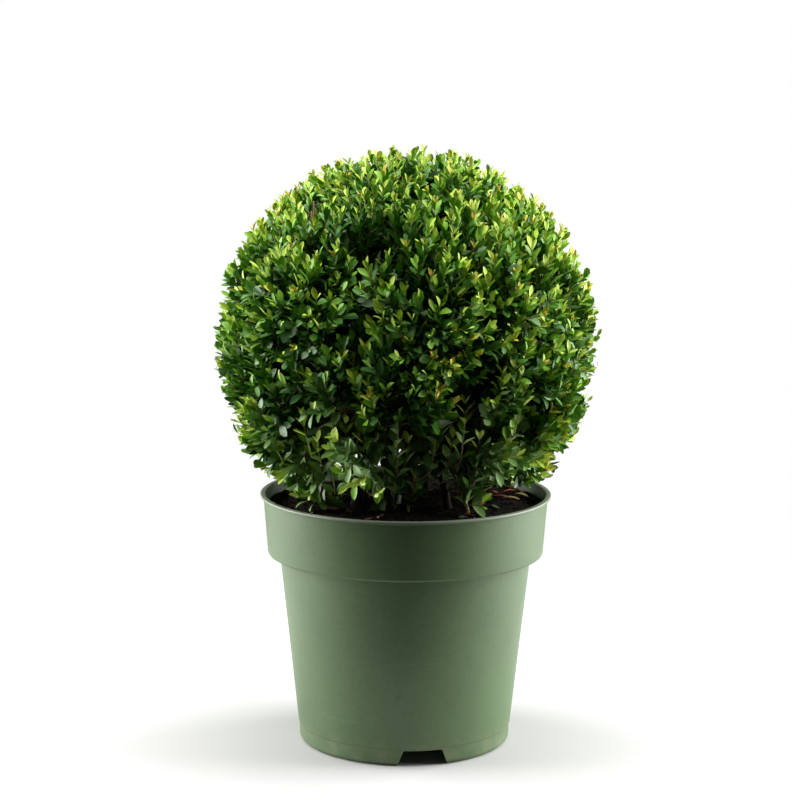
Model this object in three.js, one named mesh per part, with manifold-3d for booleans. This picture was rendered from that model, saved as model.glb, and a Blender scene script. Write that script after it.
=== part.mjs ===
import * as THREE from 'three';
import { mergeVertices } from 'three/addons/utils/BufferGeometryUtils.js';
import Module from 'manifold-3d';

// A Japanese holly clipped to a ball, growing in its round plastic nursery pot.
// Millimetres, +Z up. The origin is the middle of the pot's flat underside.
// The plant is looked at from the -Y side, so +X is its right.

const wasm = await Module();
wasm.setup();

// Gap that is kept between two solids that touch on the real plant
const GAP = 0.35;

// Pot: a moulded 26 cm nursery container with a stepped collar under its lip
const POT_HEIGHT = 225;
const RIM_RADIUS = 130;
const WALL = 2;
const LIP_HEIGHT = 2.5;
const LIP_OVERHANG = 3;
const LIP_ROUNDING = 0.8;
const COLLAR_FOOT_HEIGHT = 171.2;
const COLLAR_FOOT_RADIUS = 123;
const COLLAR_ROUNDING = 2.5;
const BODY_TOP_RADIUS = 112.5;
const BODY_FOOT_RADIUS = 95.6;
const BAND_HEIGHT = 15.6;
const BAND_RADIUS = 95;
const HEEL_HEIGHT = 3.2;
const HEEL_SHARE = 0.85;
const REST_RADIUS = 91.2;
const REST_WIDTH = 2.4;
const FLOOR_HEIGHT = 16;
const PAD_RADIUS = 40;
const PAD_RAMP = 8;
const ROUND_SIDES = 32;

// Three notches in the pot's foot let water out, and so do the holes in its raised floor
const NOTCHES = 3;
const NOTCH_AZIMUTH = -79.8;
const NOTCH_HEIGHT = 14.1;
const NOTCH_TOP_WIDTH = 34.5;
const NOTCH_FOOT_WIDTH = 46.4;
const DRAIN_HOLES = 6;
const DRAIN_RADIUS = 6;
const DRAIN_RING_RADIUS = 70;
const DRAIN_SIDES = 8;

// Potting soil: level where the stems stand, lumpy out towards the wall
const SOIL_LEVEL = 216.5;
const SOIL_EDGE_LEVEL = 214.5;
const SOIL_LEVEL_RADIUS = 90;
const SOIL_LUMP = 1.2;
const SOIL_LUMPS_ROUND = [5, 11];

// The clipped ball, and the shells inside it that the limbs and the foliage keep to
const BALL_CENTRE = new THREE.Vector3(0, 0, 366);
const BALL_RADIUS = 168;
const FLANK_BULGE = 6;
const FLANK_BULGE_POLAR = 128;
const FLANK_BULGE_SPREAD = 14;
const BOUGH_TIP_RADIUS = 84;
const CORE_INNER_RADIUS = 98;
const CORE_OUTER_RADIUS = 130;
const CORE_LUMP = 6;
const CORE_LUMP_WIDTH = 6;
const CORE_MARGIN = 1.5;
const CORE_FLATNESS = 0.94;
const LEAF_MARGIN = 0.6;

// The crown is shared out by direction from the ball's centre, in degrees from the top
const SIDE_SHARES = 6;
const FIRST_SHARE_AZIMUTH = 15;
const UPPER_POLAR = 64;
const LOWER_POLAR = 109;

// Foliage: leaves are larger than life, so that a few of them cover the ball
const SHOOTS_ROUND_THE_BALL = 134;
const SKIRT_SHOOTS = 12;
const SKIRT_POLAR = 135;
const LEAVES_PER_SHOOT = 4;
const LEAF_LENGTH = 35;
const LEAF_SPACING = 6;
const LEAF_WIDTH_SHARE = 0.58;
const LEAF_WIDEST_SHARE = 0.58;
const LEAF_THICKNESS = 1.2;
const LEAF_FOLD_SHARE = 0.07;
const LEAF_SPLAY_AT_FOOT = 70;
const LEAF_SPLAY_AT_TIP = 24;
const LEAF_SPLAY_JITTER = 4;
const LEAF_ATTEMPTS = 8;
const LEAF_SHORTENING = 0.05;
const DIVERGENCE = 137.5;
const SHOOT_CLIP = 5;
const SHOOT_RISE = 0.45;
const SHOOT_DROOP = 0.35;
const SHOOT_DROOP_FROM = 0.3;
const SHOOT_DROOP_FULL = 0.75;
const SHOOT_FIRST_LEAF = 0.55;
const LEAF_OVERREACH = 0.6;
const TWIG_FOOT_RADIUS = 2.2;
const TWIG_TIP_RADIUS = 1.5;

// Limbs
const MIDDLE_STEM = { foot: [4, 10], thickness: 9.5, tipThickness: 5 };
const SIDE_STEMS = [
  { foot: [60, 24], forkHeight: 278, forkReach: 50, thickness: 7 },
  { foot: [18, 50], forkHeight: 284, forkReach: 46, thickness: 6.4 },
  { foot: [-36, 42], forkHeight: 288, forkReach: 44, thickness: 7.2 },
  { foot: [-43, -14], forkHeight: 290, forkReach: 46, thickness: 9 },
  { foot: [-15, -17], forkHeight: 248, forkReach: 32, thickness: 6 },
  { foot: [36, -30], forkHeight: 276, forkReach: 46, thickness: 7.5 },
];
const STEM_TAPER = 0.68;
const STEM_LEAN = 24;
const ROOT_FLARE = 0.45;
const ROOT_FLARE_HEIGHT = 7;
const BOUGH_START_SHARE = 0.8;
const BOUGH_TIP_THICKNESS = 3.4;
const LOWER_BOUGH_LEAN = 40;
const UPPER_BOUGH_LEAN = 8;
const MASS_STEM_TAPER = 0.6;
const BEND_PULL = 0.38;
const RING_CROWDING = 1.3;
const STRAIGHT_ENOUGH = 0.05;

// Low sprigs: young shoots that come straight out of the soil below the ball
const LOW_SPRIGS = [
  { foot: [55, -58], lean: [-8, 6], height: 32 },
  { foot: [-68, -40], lean: [-10, 0], height: 20 },
  { foot: [2, -44], lean: [6, -8], height: 30 },
  { foot: [-14, 70], lean: [-8, 8], height: 30 },
  { foot: [54, 58], lean: [6, 8], height: 28 },
];
const SPRIG_THICKNESS = 2.8;
const SPRIG_TAPER = 0.65;
const SPRIG_STRAIGHTENING = 1.4;
const SPRIG_LEAF_LENGTH = 22;
const SPRIG_LEAVES = 6;
const SPRIG_FIRST_LEAF = 0.25;
const SPRIG_LOWEST_LEAF = 1.5;
const SPRIG_LIMB_CLEARANCE = 3;
const SPRIG_WALL_CLEARANCE = 6;
const LIMB_SAMPLES = 40;

const UP = new THREE.Vector3(0, 0, 1);
const { degToRad, lerp, mapLinear, radToDeg } = THREE.MathUtils;

// A seeded stream of numbers from 0 to 1
function seededRandom(seed) {
  let state = seed;
  return () => {
    state = (state + 0x6d2b79f5) | 0;
    let mixed = Math.imul(state ^ (state >>> 15), 1 | state);
    mixed = (mixed + Math.imul(mixed ^ (mixed >>> 7), 61 | mixed)) ^ mixed;
    return ((mixed ^ (mixed >>> 14)) >>> 0) / 4294967296;
  };
}

// The direction that lies so many degrees from the top, at an azimuth from +X
function direction(polar, azimuth) {
  const tilt = degToRad(polar);
  const turn = degToRad(azimuth);
  return new THREE.Vector3(Math.sin(tilt) * Math.cos(turn), Math.sin(tilt) * Math.sin(turn), Math.cos(tilt));
}

function vector([x, y], height) {
  return new THREE.Vector3(x, y, height);
}

// Solids and meshes

// A three.js geometry as a solid: shared vertices are merged, and flat faces at a pole are dropped
function toSolid(geometry) {
  geometry.deleteAttribute('normal');
  geometry.deleteAttribute('uv');
  const merged = mergeVertices(geometry, 1e-4);
  const corners = merged.index.array;
  const kept = [];
  for (let i = 0; i < corners.length; i += 3) {
    const [a, b, c] = corners.slice(i, i + 3);
    if (a !== b && b !== c && c !== a) kept.push(a, b, c);
  }
  return new wasm.Manifold(new wasm.Mesh({
    numProp: 3,
    vertProperties: new Float32Array(merged.attributes.position.array),
    triVerts: new Uint32Array(kept),
  }));
}

function join(solids) {
  return solids.reduce((whole, solid) => whole.add(solid));
}

// The largest body of a solid: hollows that joining seals and loose scraps are dropped
function largestBody(solid) {
  return solid.decompose().reduce((best, body) => (body.volume() > best.volume() ? body : best));
}

function toMesh(name, solid, material) {
  const { vertProperties, triVerts } = solid.simplify(GAP / 20).getMesh();
  const geometry = new THREE.BufferGeometry();
  geometry.setAttribute('position', new THREE.BufferAttribute(vertProperties, 3));
  geometry.setIndex(new THREE.BufferAttribute(triVerts, 1));
  geometry.computeVertexNormals();
  const mesh = new THREE.Mesh(geometry, material);
  mesh.name = name;
  return mesh;
}

// A solid turned round the Z axis from an outline of [radius, height] points
function turned(outline) {
  const points = outline.map(([radius, height]) => new THREE.Vector2(radius, height));
  return new THREE.LatheGeometry(points, ROUND_SIDES).rotateX(Math.PI / 2);
}

// Pot and soil

function collarRadius(height) {
  const lipFoot = POT_HEIGHT - LIP_HEIGHT;
  const lipFootRadius = RIM_RADIUS - LIP_OVERHANG;
  return mapLinear(height, COLLAR_FOOT_HEIGHT, lipFoot, COLLAR_FOOT_RADIUS, lipFootRadius);
}

// The inside of the pot from the middle of its floor up to a height, moved in by a gap
function cavityOutline(gap, top) {
  const rampFoot = PAD_RADIUS - 0.6 * WALL;
  const floor = FLOOR_HEIGHT + WALL;
  return [
    [0, WALL + gap],
    [rampFoot - gap, WALL + gap],
    [rampFoot + PAD_RAMP - gap, floor + gap],
    [BODY_FOOT_RADIUS - WALL - gap, floor + gap],
    [BODY_TOP_RADIUS - WALL - gap, COLLAR_FOOT_HEIGHT + WALL + gap],
    [COLLAR_FOOT_RADIUS - WALL - gap, COLLAR_FOOT_HEIGHT + WALL + gap],
    [collarRadius(top) - WALL - gap, top],
  ];
}

function potOutline() {
  const lipFoot = POT_HEIGHT - LIP_HEIGHT;
  return [
    [0, 0],
    [PAD_RADIUS, 0],
    [PAD_RADIUS + PAD_RAMP, FLOOR_HEIGHT],
    [BAND_RADIUS - REST_WIDTH, FLOOR_HEIGHT],
    [REST_RADIUS - REST_WIDTH, 0],
    [REST_RADIUS, 0],
    [lerp(REST_RADIUS, BAND_RADIUS, HEEL_SHARE), HEEL_HEIGHT],
    [BAND_RADIUS, BAND_HEIGHT],
    [BODY_FOOT_RADIUS, BAND_HEIGHT + LIP_ROUNDING],
    [BODY_TOP_RADIUS, COLLAR_FOOT_HEIGHT],
    [COLLAR_FOOT_RADIUS - COLLAR_ROUNDING, COLLAR_FOOT_HEIGHT],
    [COLLAR_FOOT_RADIUS, COLLAR_FOOT_HEIGHT + COLLAR_ROUNDING],
    [collarRadius(lipFoot), lipFoot],
    [RIM_RADIUS, lipFoot + LIP_ROUNDING],
    [RIM_RADIUS, POT_HEIGHT - LIP_ROUNDING],
    [RIM_RADIUS - LIP_ROUNDING, POT_HEIGHT],
    ...cavityOutline(0, POT_HEIGHT).reverse(),
  ];
}

// A trapezoid that goes through the foot of the wall on the +X side
function notchSolid() {
  const depth = 3 * (BAND_RADIUS - REST_RADIUS + REST_WIDTH);
  const below = 1;
  const flare = (NOTCH_FOOT_WIDTH - NOTCH_TOP_WIDTH) / 2;
  const footHalf = NOTCH_FOOT_WIDTH / 2 + (flare * below) / NOTCH_HEIGHT;
  const shape = new THREE.Shape([
    new THREE.Vector2(-footHalf, -below),
    new THREE.Vector2(footHalf, -below),
    new THREE.Vector2(NOTCH_TOP_WIDTH / 2, NOTCH_HEIGHT),
    new THREE.Vector2(-NOTCH_TOP_WIDTH / 2, NOTCH_HEIGHT),
  ]);
  const geometry = new THREE.ExtrudeGeometry(shape, { depth, bevelEnabled: false });
  geometry.rotateX(Math.PI / 2).rotateZ(Math.PI / 2);
  return toSolid(geometry.translate(REST_RADIUS - depth / 2, 0, 0));
}

function drainSolid() {
  const hole = new THREE.CylinderGeometry(DRAIN_RADIUS, DRAIN_RADIUS, 3 * WALL, DRAIN_SIDES);
  hole.rotateX(Math.PI / 2).translate(DRAIN_RING_RADIUS, 0, FLOOR_HEIGHT + WALL / 2);
  return toSolid(hole);
}

function potSolid() {
  let pot = toSolid(turned(potOutline()));
  for (let i = 0; i < NOTCHES; i += 1) {
    pot = pot.subtract(notchSolid().rotate([0, 0, NOTCH_AZIMUTH + (360 * i) / NOTCHES]));
  }
  for (let i = 0; i < DRAIN_HOLES; i += 1) {
    pot = pot.subtract(drainSolid().rotate([0, 0, NOTCH_AZIMUTH + (360 * (i + 0.5)) / DRAIN_HOLES]));
  }
  return pot;
}

function soilSolid() {
  const side = cavityOutline(GAP, SOIL_EDGE_LEVEL);
  const edgeRadius = side.at(-1)[0];
  const lumpyRadius = lerp(SOIL_LEVEL_RADIUS, edgeRadius, 0.5);
  const lumpyLevel = (SOIL_LEVEL + SOIL_EDGE_LEVEL) / 2;
  const outline = [...side, [lumpyRadius, lumpyLevel], [SOIL_LEVEL_RADIUS, SOIL_LEVEL], [0, SOIL_LEVEL]];
  const geometry = turned(outline);
  const { position } = geometry.attributes;
  for (let i = 0; i < position.count; i += 1) {
    if (Math.abs(position.getZ(i) - lumpyLevel) < GAP) {
      const turn = Math.atan2(position.getY(i), position.getX(i));
      const [broad, fine] = SOIL_LUMPS_ROUND.map((count) => Math.sin(count * turn + count));
      position.setZ(i, lumpyLevel + (SOIL_LUMP * (broad + fine)) / 2);
    }
  }
  return toSolid(geometry);
}

// Limbs

// A direction square to the curve's plane, which no tangent of the curve runs along
function crosswise(curve) {
  const tangent = curve.getTangent(0);
  const across = tangent.clone().cross(curve.getTangent(1));
  if (across.length() > STRAIGHT_ENOUGH) return across.normalize();
  const aside = Math.abs(tangent.x) < Math.abs(tangent.y) ? [1, 0, 0] : [0, 1, 0];
  return new THREE.Vector3(...aside).cross(tangent).normalize();
}

// A tapering limb along a curve, with flat ends. Its rings are closer together near the foot.
function limbSolid(curve, radiusAt, { sides, rings, grow = 0 }) {
  const geometry = new THREE.CylinderGeometry(1, 1, 1, sides, rings);
  const { position } = geometry.attributes;
  const across = crosswise(curve);
  for (let i = 0; i < position.count; i += 1) {
    const share = (position.getY(i) + 0.5) ** RING_CROWDING;
    const tangent = curve.getTangent(share);
    const side = across.clone().addScaledVector(tangent, -across.dot(tangent)).normalize();
    const radius = radiusAt(share) + grow;
    const endShift = (share > 0.999) - (share < 0.001);
    const point = curve.getPoint(share)
      .addScaledVector(side, radius * position.getX(i))
      .addScaledVector(side.cross(tangent), radius * position.getZ(i))
      .addScaledVector(tangent, grow * endShift);
    position.setXYZ(i, point.x, point.y, point.z);
  }
  return toSolid(geometry);
}

// A curve that leaves its start and reaches its end in the directions given
function bend(start, startHeading, end, endHeading) {
  const pull = BEND_PULL * start.distanceTo(end);
  return new THREE.CubicBezierCurve3(
    start,
    start.clone().addScaledVector(startHeading, pull),
    end.clone().addScaledVector(endHeading, -pull),
    end,
  );
}

// A stem's radius along it: an even taper, and a flare where it meets the soil
function stemRadius(thickness, tipThickness, length) {
  return (share) => {
    const flare = 1 + ROOT_FLARE * Math.exp((-share * length) / ROOT_FLARE_HEIGHT);
    return (flare * lerp(thickness, tipThickness, share)) / 2;
  };
}

// The point inside the ball where a bough or the middle stem hands over to its foliage
function handover(heading) {
  return BALL_CENTRE.clone().addScaledVector(heading, BOUGH_TIP_RADIUS);
}

function middleStem() {
  const foot = vector(MIDDLE_STEM.foot, SOIL_LEVEL + GAP);
  const curve = bend(foot, UP, handover(UP), UP);
  const radius = stemRadius(MIDDLE_STEM.thickness, MIDDLE_STEM.tipThickness, curve.getLength());
  return { name: 'middle_stem', curve, radius, sides: 8, rings: 8 };
}

// One side stem and its two boughs, as curves: the lower one goes out, the upper one goes up
function sideLimbs(index) {
  const { foot, forkHeight, forkReach, thickness } = SIDE_STEMS[index];
  const azimuth = shareAzimuth(index);
  const outward = direction(90, azimuth);
  const fork = outward.clone().multiplyScalar(forkReach).setZ(forkHeight);
  const start = vector(foot, SOIL_LEVEL + GAP);
  const stemCurve = bend(start, UP, fork, direction(STEM_LEAN, azimuth));
  const tipThickness = thickness * STEM_TAPER;
  const number = index + 1;
  const stem = {
    name: `side_stem_${number}`,
    curve: stemCurve,
    radius: stemRadius(thickness, tipThickness, stemCurve.getLength()),
    sides: 7,
    rings: 6,
  };
  const boughs = [
    { name: `lower_bough_${number}`, heading: lowerHeading(index), lean: LOWER_BOUGH_LEAN },
    { name: `upper_bough_${number}`, heading: upperHeading(index), lean: UPPER_BOUGH_LEAN },
  ].map(({ name, heading, lean }) => ({
    name,
    curve: bend(fork, direction(lean, azimuth), handover(heading), heading),
    radius: (share) => lerp(tipThickness * BOUGH_START_SHARE, BOUGH_TIP_THICKNESS, share) / 2,
    sides: 5,
    rings: 4,
  }));
  return { stem, boughs };
}

function solidOf(limb, grow = 0) {
  return limbSolid(limb.curve, limb.radius, { sides: limb.sides, rings: limb.rings, grow });
}

// The share of the ball that each mass of foliage keeps to

function shareAzimuth(index) {
  return FIRST_SHARE_AZIMUTH + (360 * index) / SIDE_SHARES;
}

function lowerHeading(index) {
  return direction(LOWER_POLAR, shareAzimuth(index));
}

function upperHeading(index) {
  return direction(UPPER_POLAR, shareAzimuth(index + 0.5));
}

function crownMasses() {
  const masses = [{ name: 'crown_top', heading: UP, stemThickness: MIDDLE_STEM.tipThickness }];
  for (let i = 0; i < SIDE_SHARES; i += 1) {
    const stemThickness = BOUGH_TIP_THICKNESS;
    masses.push({ name: `upper_foliage_${i + 1}`, heading: upperHeading(i), stemThickness });
    masses.push({ name: `lower_foliage_${i + 1}`, heading: lowerHeading(i), stemThickness });
  }
  return masses;
}

// The planes through the ball's centre that part one heading's share from all the others
function sharePlanes(heading, headings) {
  return headings
    .filter((other) => other !== heading)
    .map((other) => heading.clone().sub(other).normalize());
}

function isInShare(point, planes, margin) {
  return planes.every((normal) => normal.dot(point) >= margin);
}

// How far from its centre the clipped ball reaches: it is a little full low on its flanks
function reachAlong(point) {
  const polar = radToDeg(point.angleTo(UP));
  return BALL_RADIUS + FLANK_BULGE * Math.exp(-(((polar - FLANK_BULGE_POLAR) / FLANK_BULGE_SPREAD) ** 2));
}

// Foliage

// The corners of a leaf that leaves a twig's middle: base, tip, two edges, upper and under side
function leafCorners(root, heading, upperSide, length) {
  const width = length * LEAF_WIDTH_SHARE;
  const across = upperSide.clone().cross(heading);
  const at = (along, aside, lift) => root.clone()
    .addScaledVector(heading, along * length)
    .addScaledVector(across, aside * width)
    .addScaledVector(upperSide, lift);
  const fold = LEAF_FOLD_SHARE * length;
  return {
    base: at(0, 0, 0),
    tip: at(1, 0, -fold / 2),
    left: at(LEAF_WIDEST_SHARE, 0.5, fold),
    right: at(LEAF_WIDEST_SHARE, -0.5, fold),
    upper: at(0.5, 0, LEAF_THICKNESS / 2),
    under: at(0.5, 0, -LEAF_THICKNESS / 2),
  };
}

// A leaf as an eight-sided blade between its six corners
function leafSolid(corners) {
  const geometry = new THREE.OctahedronGeometry(1);
  const { position } = geometry.attributes;
  for (let i = 0; i < position.count; i += 1) {
    const x = Math.round(position.getX(i));
    const y = Math.round(position.getY(i));
    const lengthwise = x > 0 ? corners.tip : corners.base;
    const sideways = y > 0 ? corners.left : corners.right;
    const upright = position.getZ(i) > 0 ? corners.upper : corners.under;
    const corner = (x !== 0 && lengthwise) || (y !== 0 && sideways) || upright;
    position.setXYZ(i, corner.x, corner.y, corner.z);
  }
  return toSolid(geometry);
}

// Points over the outer part of a leaf, which keep their distance from other leaves
function outerPoints({ base, tip, left, right }) {
  const midrib = [0.4, 0.6, 0.8].map((share) => base.clone().lerp(tip, share));
  return [...midrib, tip, left, right];
}

// Leaves set round a twig from a share of its length to its tip, each turned on from the last.
// A leaf that would leave its space, or lie on a leaf already set, is turned and shortened a few
// times, and then left out.
function leavesAlong(twig, { first, count, length, random, fits, taken }) {
  const leaves = [];
  const across = crosswise(twig);
  for (let i = 0; i < count; i += 1) {
    const share = first + ((1 - first) * i) / (count - 1);
    const tangent = twig.getTangent(share);
    const evenSplay = lerp(LEAF_SPLAY_AT_FOOT, LEAF_SPLAY_AT_TIP, i / (count - 1));
    const splay = degToRad(evenSplay + LEAF_SPLAY_JITTER * (2 * random() - 1));
    const firstTurn = i * DIVERGENCE + 360 * random();
    for (let attempt = 0; attempt < LEAF_ATTEMPTS; attempt += 1) {
      const aside = across.clone().applyAxisAngle(tangent, degToRad(firstTurn + attempt * DIVERGENCE));
      const heading = tangent.clone().multiplyScalar(Math.cos(splay)).addScaledVector(aside, Math.sin(splay));
      const upperSide = tangent.clone().addScaledVector(heading, -tangent.dot(heading)).normalize();
      const shortened = length * (1 - LEAF_SHORTENING * attempt);
      const root = twig.getPoint(share);
      const corners = leafCorners(root, heading.normalize(), upperSide, shortened);
      const outer = outerPoints(corners);
      const isApart = outer.every((point) => taken.every((other) => point.distanceTo(other) > LEAF_SPACING));
      if (isApart && fits(Object.values(corners))) {
        taken.push(...outer);
        leaves.push(leafSolid(corners));
        break;
      }
    }
  }
  return leaves;
}

function twigSolid(curve) {
  const radius = (share) => lerp(TWIG_FOOT_RADIUS, TWIG_TIP_RADIUS, share);
  return limbSolid(curve, radius, { sides: 3, rings: 1 });
}

// Directions spread evenly over the ball from its top down, and a skirt round its underside
function shootDirections() {
  const even = Array.from({ length: SHOOTS_ROUND_THE_BALL }, (_, i) => {
    const polar = Math.acos(1 - (2 * (i + 0.5)) / SHOOTS_ROUND_THE_BALL);
    return direction(radToDeg(polar), i * DIVERGENCE);
  });
  const skirt = Array.from({ length: SKIRT_SHOOTS }, (_, i) => (
    direction(SKIRT_POLAR, (360 * i) / SKIRT_SHOOTS)
  ));
  return [...even, ...skirt];
}

// A side twig from the mass's stem, and the shoot that goes on from its end to the ball's surface:
// it turns up, or droops on the ball's underside
function branchTo(outward, heading, random) {
  const startRadius = lerp(CORE_INNER_RADIUS, CORE_OUTER_RADIUS, lerp(0.2, 0.8, random()));
  const start = heading.clone().multiplyScalar(startRadius);
  const elbow = outward.clone().multiplyScalar(CORE_OUTER_RADIUS - 2 * CORE_LUMP);
  const upwards = UP.clone().addScaledVector(outward, -UP.dot(outward));
  const lowness = THREE.MathUtils.smoothstep(-outward.z, SHOOT_DROOP_FROM, SHOOT_DROOP_FULL);
  const rise = outward.clone().addScaledVector(upwards, lerp(SHOOT_RISE, -SHOOT_DROOP, lowness)).normalize();
  const tipRadius = reachAlong(outward) - SHOOT_CLIP * random() - LEAF_OVERREACH * LEAF_LENGTH;
  const length = (tipRadius - elbow.length()) / rise.dot(outward);
  return {
    side: new THREE.LineCurve3(start, elbow),
    shoot: new THREE.LineCurve3(elbow, elbow.clone().addScaledVector(rise, length)),
  };
}

// The dark, dense inside of one share of the crown: a thick shell cut by the share's planes
function coreSolid(planes) {
  const geometry = new THREE.IcosahedronGeometry(CORE_OUTER_RADIUS, 3);
  const { position } = geometry.attributes;
  const point = new THREE.Vector3();
  for (let i = 0; i < position.count; i += 1) {
    point.fromBufferAttribute(position, i);
    const across = (point.x + point.y) / CORE_LUMP_WIDTH;
    const upwards = (point.z - point.y) / CORE_LUMP_WIDTH;
    point.setLength(CORE_OUTER_RADIUS + CORE_LUMP * Math.sin(across) * Math.cos(upwards));
    position.setXYZ(i, point.x, point.y, point.z);
  }
  const hollow = toSolid(new THREE.IcosahedronGeometry(CORE_INNER_RADIUS / CORE_FLATNESS, 1));
  const shell = toSolid(geometry).subtract(hollow);
  return planes.reduce((rest, { x, y, z }) => rest.trimByPlane([x, y, z], CORE_MARGIN), shell);
}

// One mass of foliage round the ball's centre: core, stem, and shoots with their leaves
function massSolid({ heading, stemThickness }, planes, outwards, random) {
  const fits = (points) => points.every(
    (point) => isInShare(point, planes, LEAF_MARGIN) && point.length() <= reachAlong(point),
  );
  const stem = new THREE.LineCurve3(
    heading.clone().multiplyScalar(BOUGH_TIP_RADIUS + GAP),
    heading.clone().multiplyScalar(CORE_OUTER_RADIUS - CORE_LUMP),
  );
  const stemRadiusAt = (share) => (stemThickness / 2) * lerp(1, MASS_STEM_TAPER, share);
  const pieces = [coreSolid(planes), limbSolid(stem, stemRadiusAt, { sides: 6, rings: 1 })];
  const leafSettings = {
    first: SHOOT_FIRST_LEAF,
    count: LEAVES_PER_SHOOT,
    length: LEAF_LENGTH,
    random,
    fits,
    taken: [],
  };
  for (const outward of outwards) {
    const { side, shoot } = branchTo(outward, heading, random);
    const ends = [shoot.getPoint(0), shoot.getPoint(1)];
    if (ends.every((point) => isInShare(point, planes, LEAF_MARGIN + TWIG_FOOT_RADIUS))) {
      pieces.push(twigSolid(side), twigSolid(shoot), ...leavesAlong(shoot, leafSettings));
    }
  }
  return largestBody(join(pieces));
}

// A low sprig: a young stem with a few leaves, clear of the limbs, the pot and the ball
function sprigSolid({ foot, lean, height }, isFree, random) {
  const start = vector(foot, SOIL_LEVEL + GAP);
  const tip = start.clone().add(vector(lean, height));
  const stem = bend(start, UP, tip, vector(lean, SPRIG_STRAIGHTENING * height).normalize());
  const radius = (share) => (SPRIG_THICKNESS / 2) * lerp(1, SPRIG_TAPER, share);
  const leaves = leavesAlong(stem, {
    first: SPRIG_FIRST_LEAF,
    count: SPRIG_LEAVES,
    length: SPRIG_LEAF_LENGTH,
    random,
    fits: isFree,
    taken: [],
  });
  return largestBody(join([limbSolid(stem, radius, { sides: 5, rings: 3 }), ...leaves]));
}

// Whether points in the open space under the ball are clear of soil, pot wall, limbs and masses
function freeSpace(limbs) {
  const planes = sharePlanes(UNDERSIDE, SHARE_HEADINGS);
  const shares = Array.from({ length: LIMB_SAMPLES + 1 }, (_, i) => i / LIMB_SAMPLES);
  const limbPoints = limbs.flatMap(({ curve, radius }) => shares.map((share) => ({
    centre: curve.getPoint(share),
    keepOff: radius(share) + SPRIG_LIMB_CLEARANCE,
  })));
  return (corners) => {
    const middle = corners[0].clone().lerp(corners[1], 0.5);
    return [...corners, middle].every((point) => {
      const overSoil = point.z > SOIL_LEVEL + SPRIG_LOWEST_LEAF;
      const insideWall = Math.hypot(point.x, point.y) < collarRadius(SOIL_LEVEL) - SPRIG_WALL_CLEARANCE;
      const underBall = isInShare(point.clone().sub(BALL_CENTRE), planes, LEAF_MARGIN);
      const offLimbs = limbPoints.every(({ centre, keepOff }) => centre.distanceTo(point) > keepOff);
      return overSoil && insideWall && underBall && offLimbs;
    });
  };
}

// Materials

const potPlastic = new THREE.MeshStandardMaterial({ color: 0x5f8262, roughness: 0.45, metalness: 0 });
const darkSoil = new THREE.MeshStandardMaterial({ color: 0x1b1512, roughness: 0.95, metalness: 0 });
const bark = new THREE.MeshStandardMaterial({ color: 0x4d4033, roughness: 0.85, metalness: 0 });
const leafGreen = new THREE.MeshStandardMaterial({ color: 0x3d6b22, roughness: 0.5, metalness: 0 });
const lowLeafGreen = new THREE.MeshStandardMaterial({ color: 0x2f5230, roughness: 0.5, metalness: 0 });

// The whole plant

const UNDERSIDE = direction(180, 0);
const MASSES = crownMasses();
const SHARE_HEADINGS = [...MASSES.map(({ heading }) => heading), UNDERSIDE];
const plant = new THREE.Group();

plant.add(toMesh('pot', potSolid(), potPlastic));
plant.add(toMesh('potting_soil', soilSolid(), darkSoil));

const middle = middleStem();
const limbs = [middle];
plant.add(toMesh(middle.name, solidOf(middle), bark));
for (let i = 0; i < SIDE_SHARES; i += 1) {
  const { stem, boughs: [lower, upper] } = sideLimbs(i);
  limbs.push(stem, lower, upper);
  const clearOfStem = (bough) => solidOf(bough).subtract(solidOf(stem, GAP));
  plant.add(toMesh(stem.name, solidOf(stem), bark));
  plant.add(toMesh(lower.name, largestBody(clearOfStem(lower)), bark));
  plant.add(toMesh(upper.name, largestBody(clearOfStem(upper).subtract(solidOf(lower, GAP))), bark));
}

const outwards = shootDirections();
MASSES.forEach((mass, index) => {
  const planes = sharePlanes(mass.heading, SHARE_HEADINGS);
  const own = outwards.filter((outward) => isInShare(outward, planes, 0));
  const mesh = toMesh(mass.name, massSolid(mass, planes, own, seededRandom(index + 1)), leafGreen);
  mesh.position.copy(BALL_CENTRE);
  plant.add(mesh);
});

const isFree = freeSpace(limbs);
LOW_SPRIGS.forEach((sprig, index) => {
  const solid = sprigSolid(sprig, isFree, seededRandom(101 + index));
  plant.add(toMesh(`low_sprig_${index + 1}`, solid, lowLeafGreen));
});

export default plant;
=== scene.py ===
# A Japanese holly clipped to a ball, growing in its round plastic nursery pot.
# Metres, +Z up. The origin is the middle of the pot's flat underside.
# The plant is looked at from the -Y side, so +X is its right.

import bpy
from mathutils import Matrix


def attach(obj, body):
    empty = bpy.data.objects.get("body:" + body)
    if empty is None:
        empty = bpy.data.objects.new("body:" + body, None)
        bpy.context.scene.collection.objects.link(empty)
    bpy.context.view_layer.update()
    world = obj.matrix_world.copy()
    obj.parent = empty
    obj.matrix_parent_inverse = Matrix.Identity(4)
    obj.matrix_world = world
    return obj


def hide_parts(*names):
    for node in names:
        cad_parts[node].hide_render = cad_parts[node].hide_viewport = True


bl_info = {
    "name": "Potted Japanese Holly",
    "version": (1, 0, 0),
    "blender": (4, 5, 0),
    "location": "3D View > Sidebar > Holly",
    "description": "Dresses the packed plant with its pot, soil, bark, twigs and leaves",
    "category": "Object",
}

from math import acos, asin, cos, degrees, exp, pi, radians, sin
from random import Random

import bpy
import numpy
from bpy.props import FloatProperty, FloatVectorProperty, IntProperty, PointerProperty
from mathutils import Matrix, Vector, noise

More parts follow.
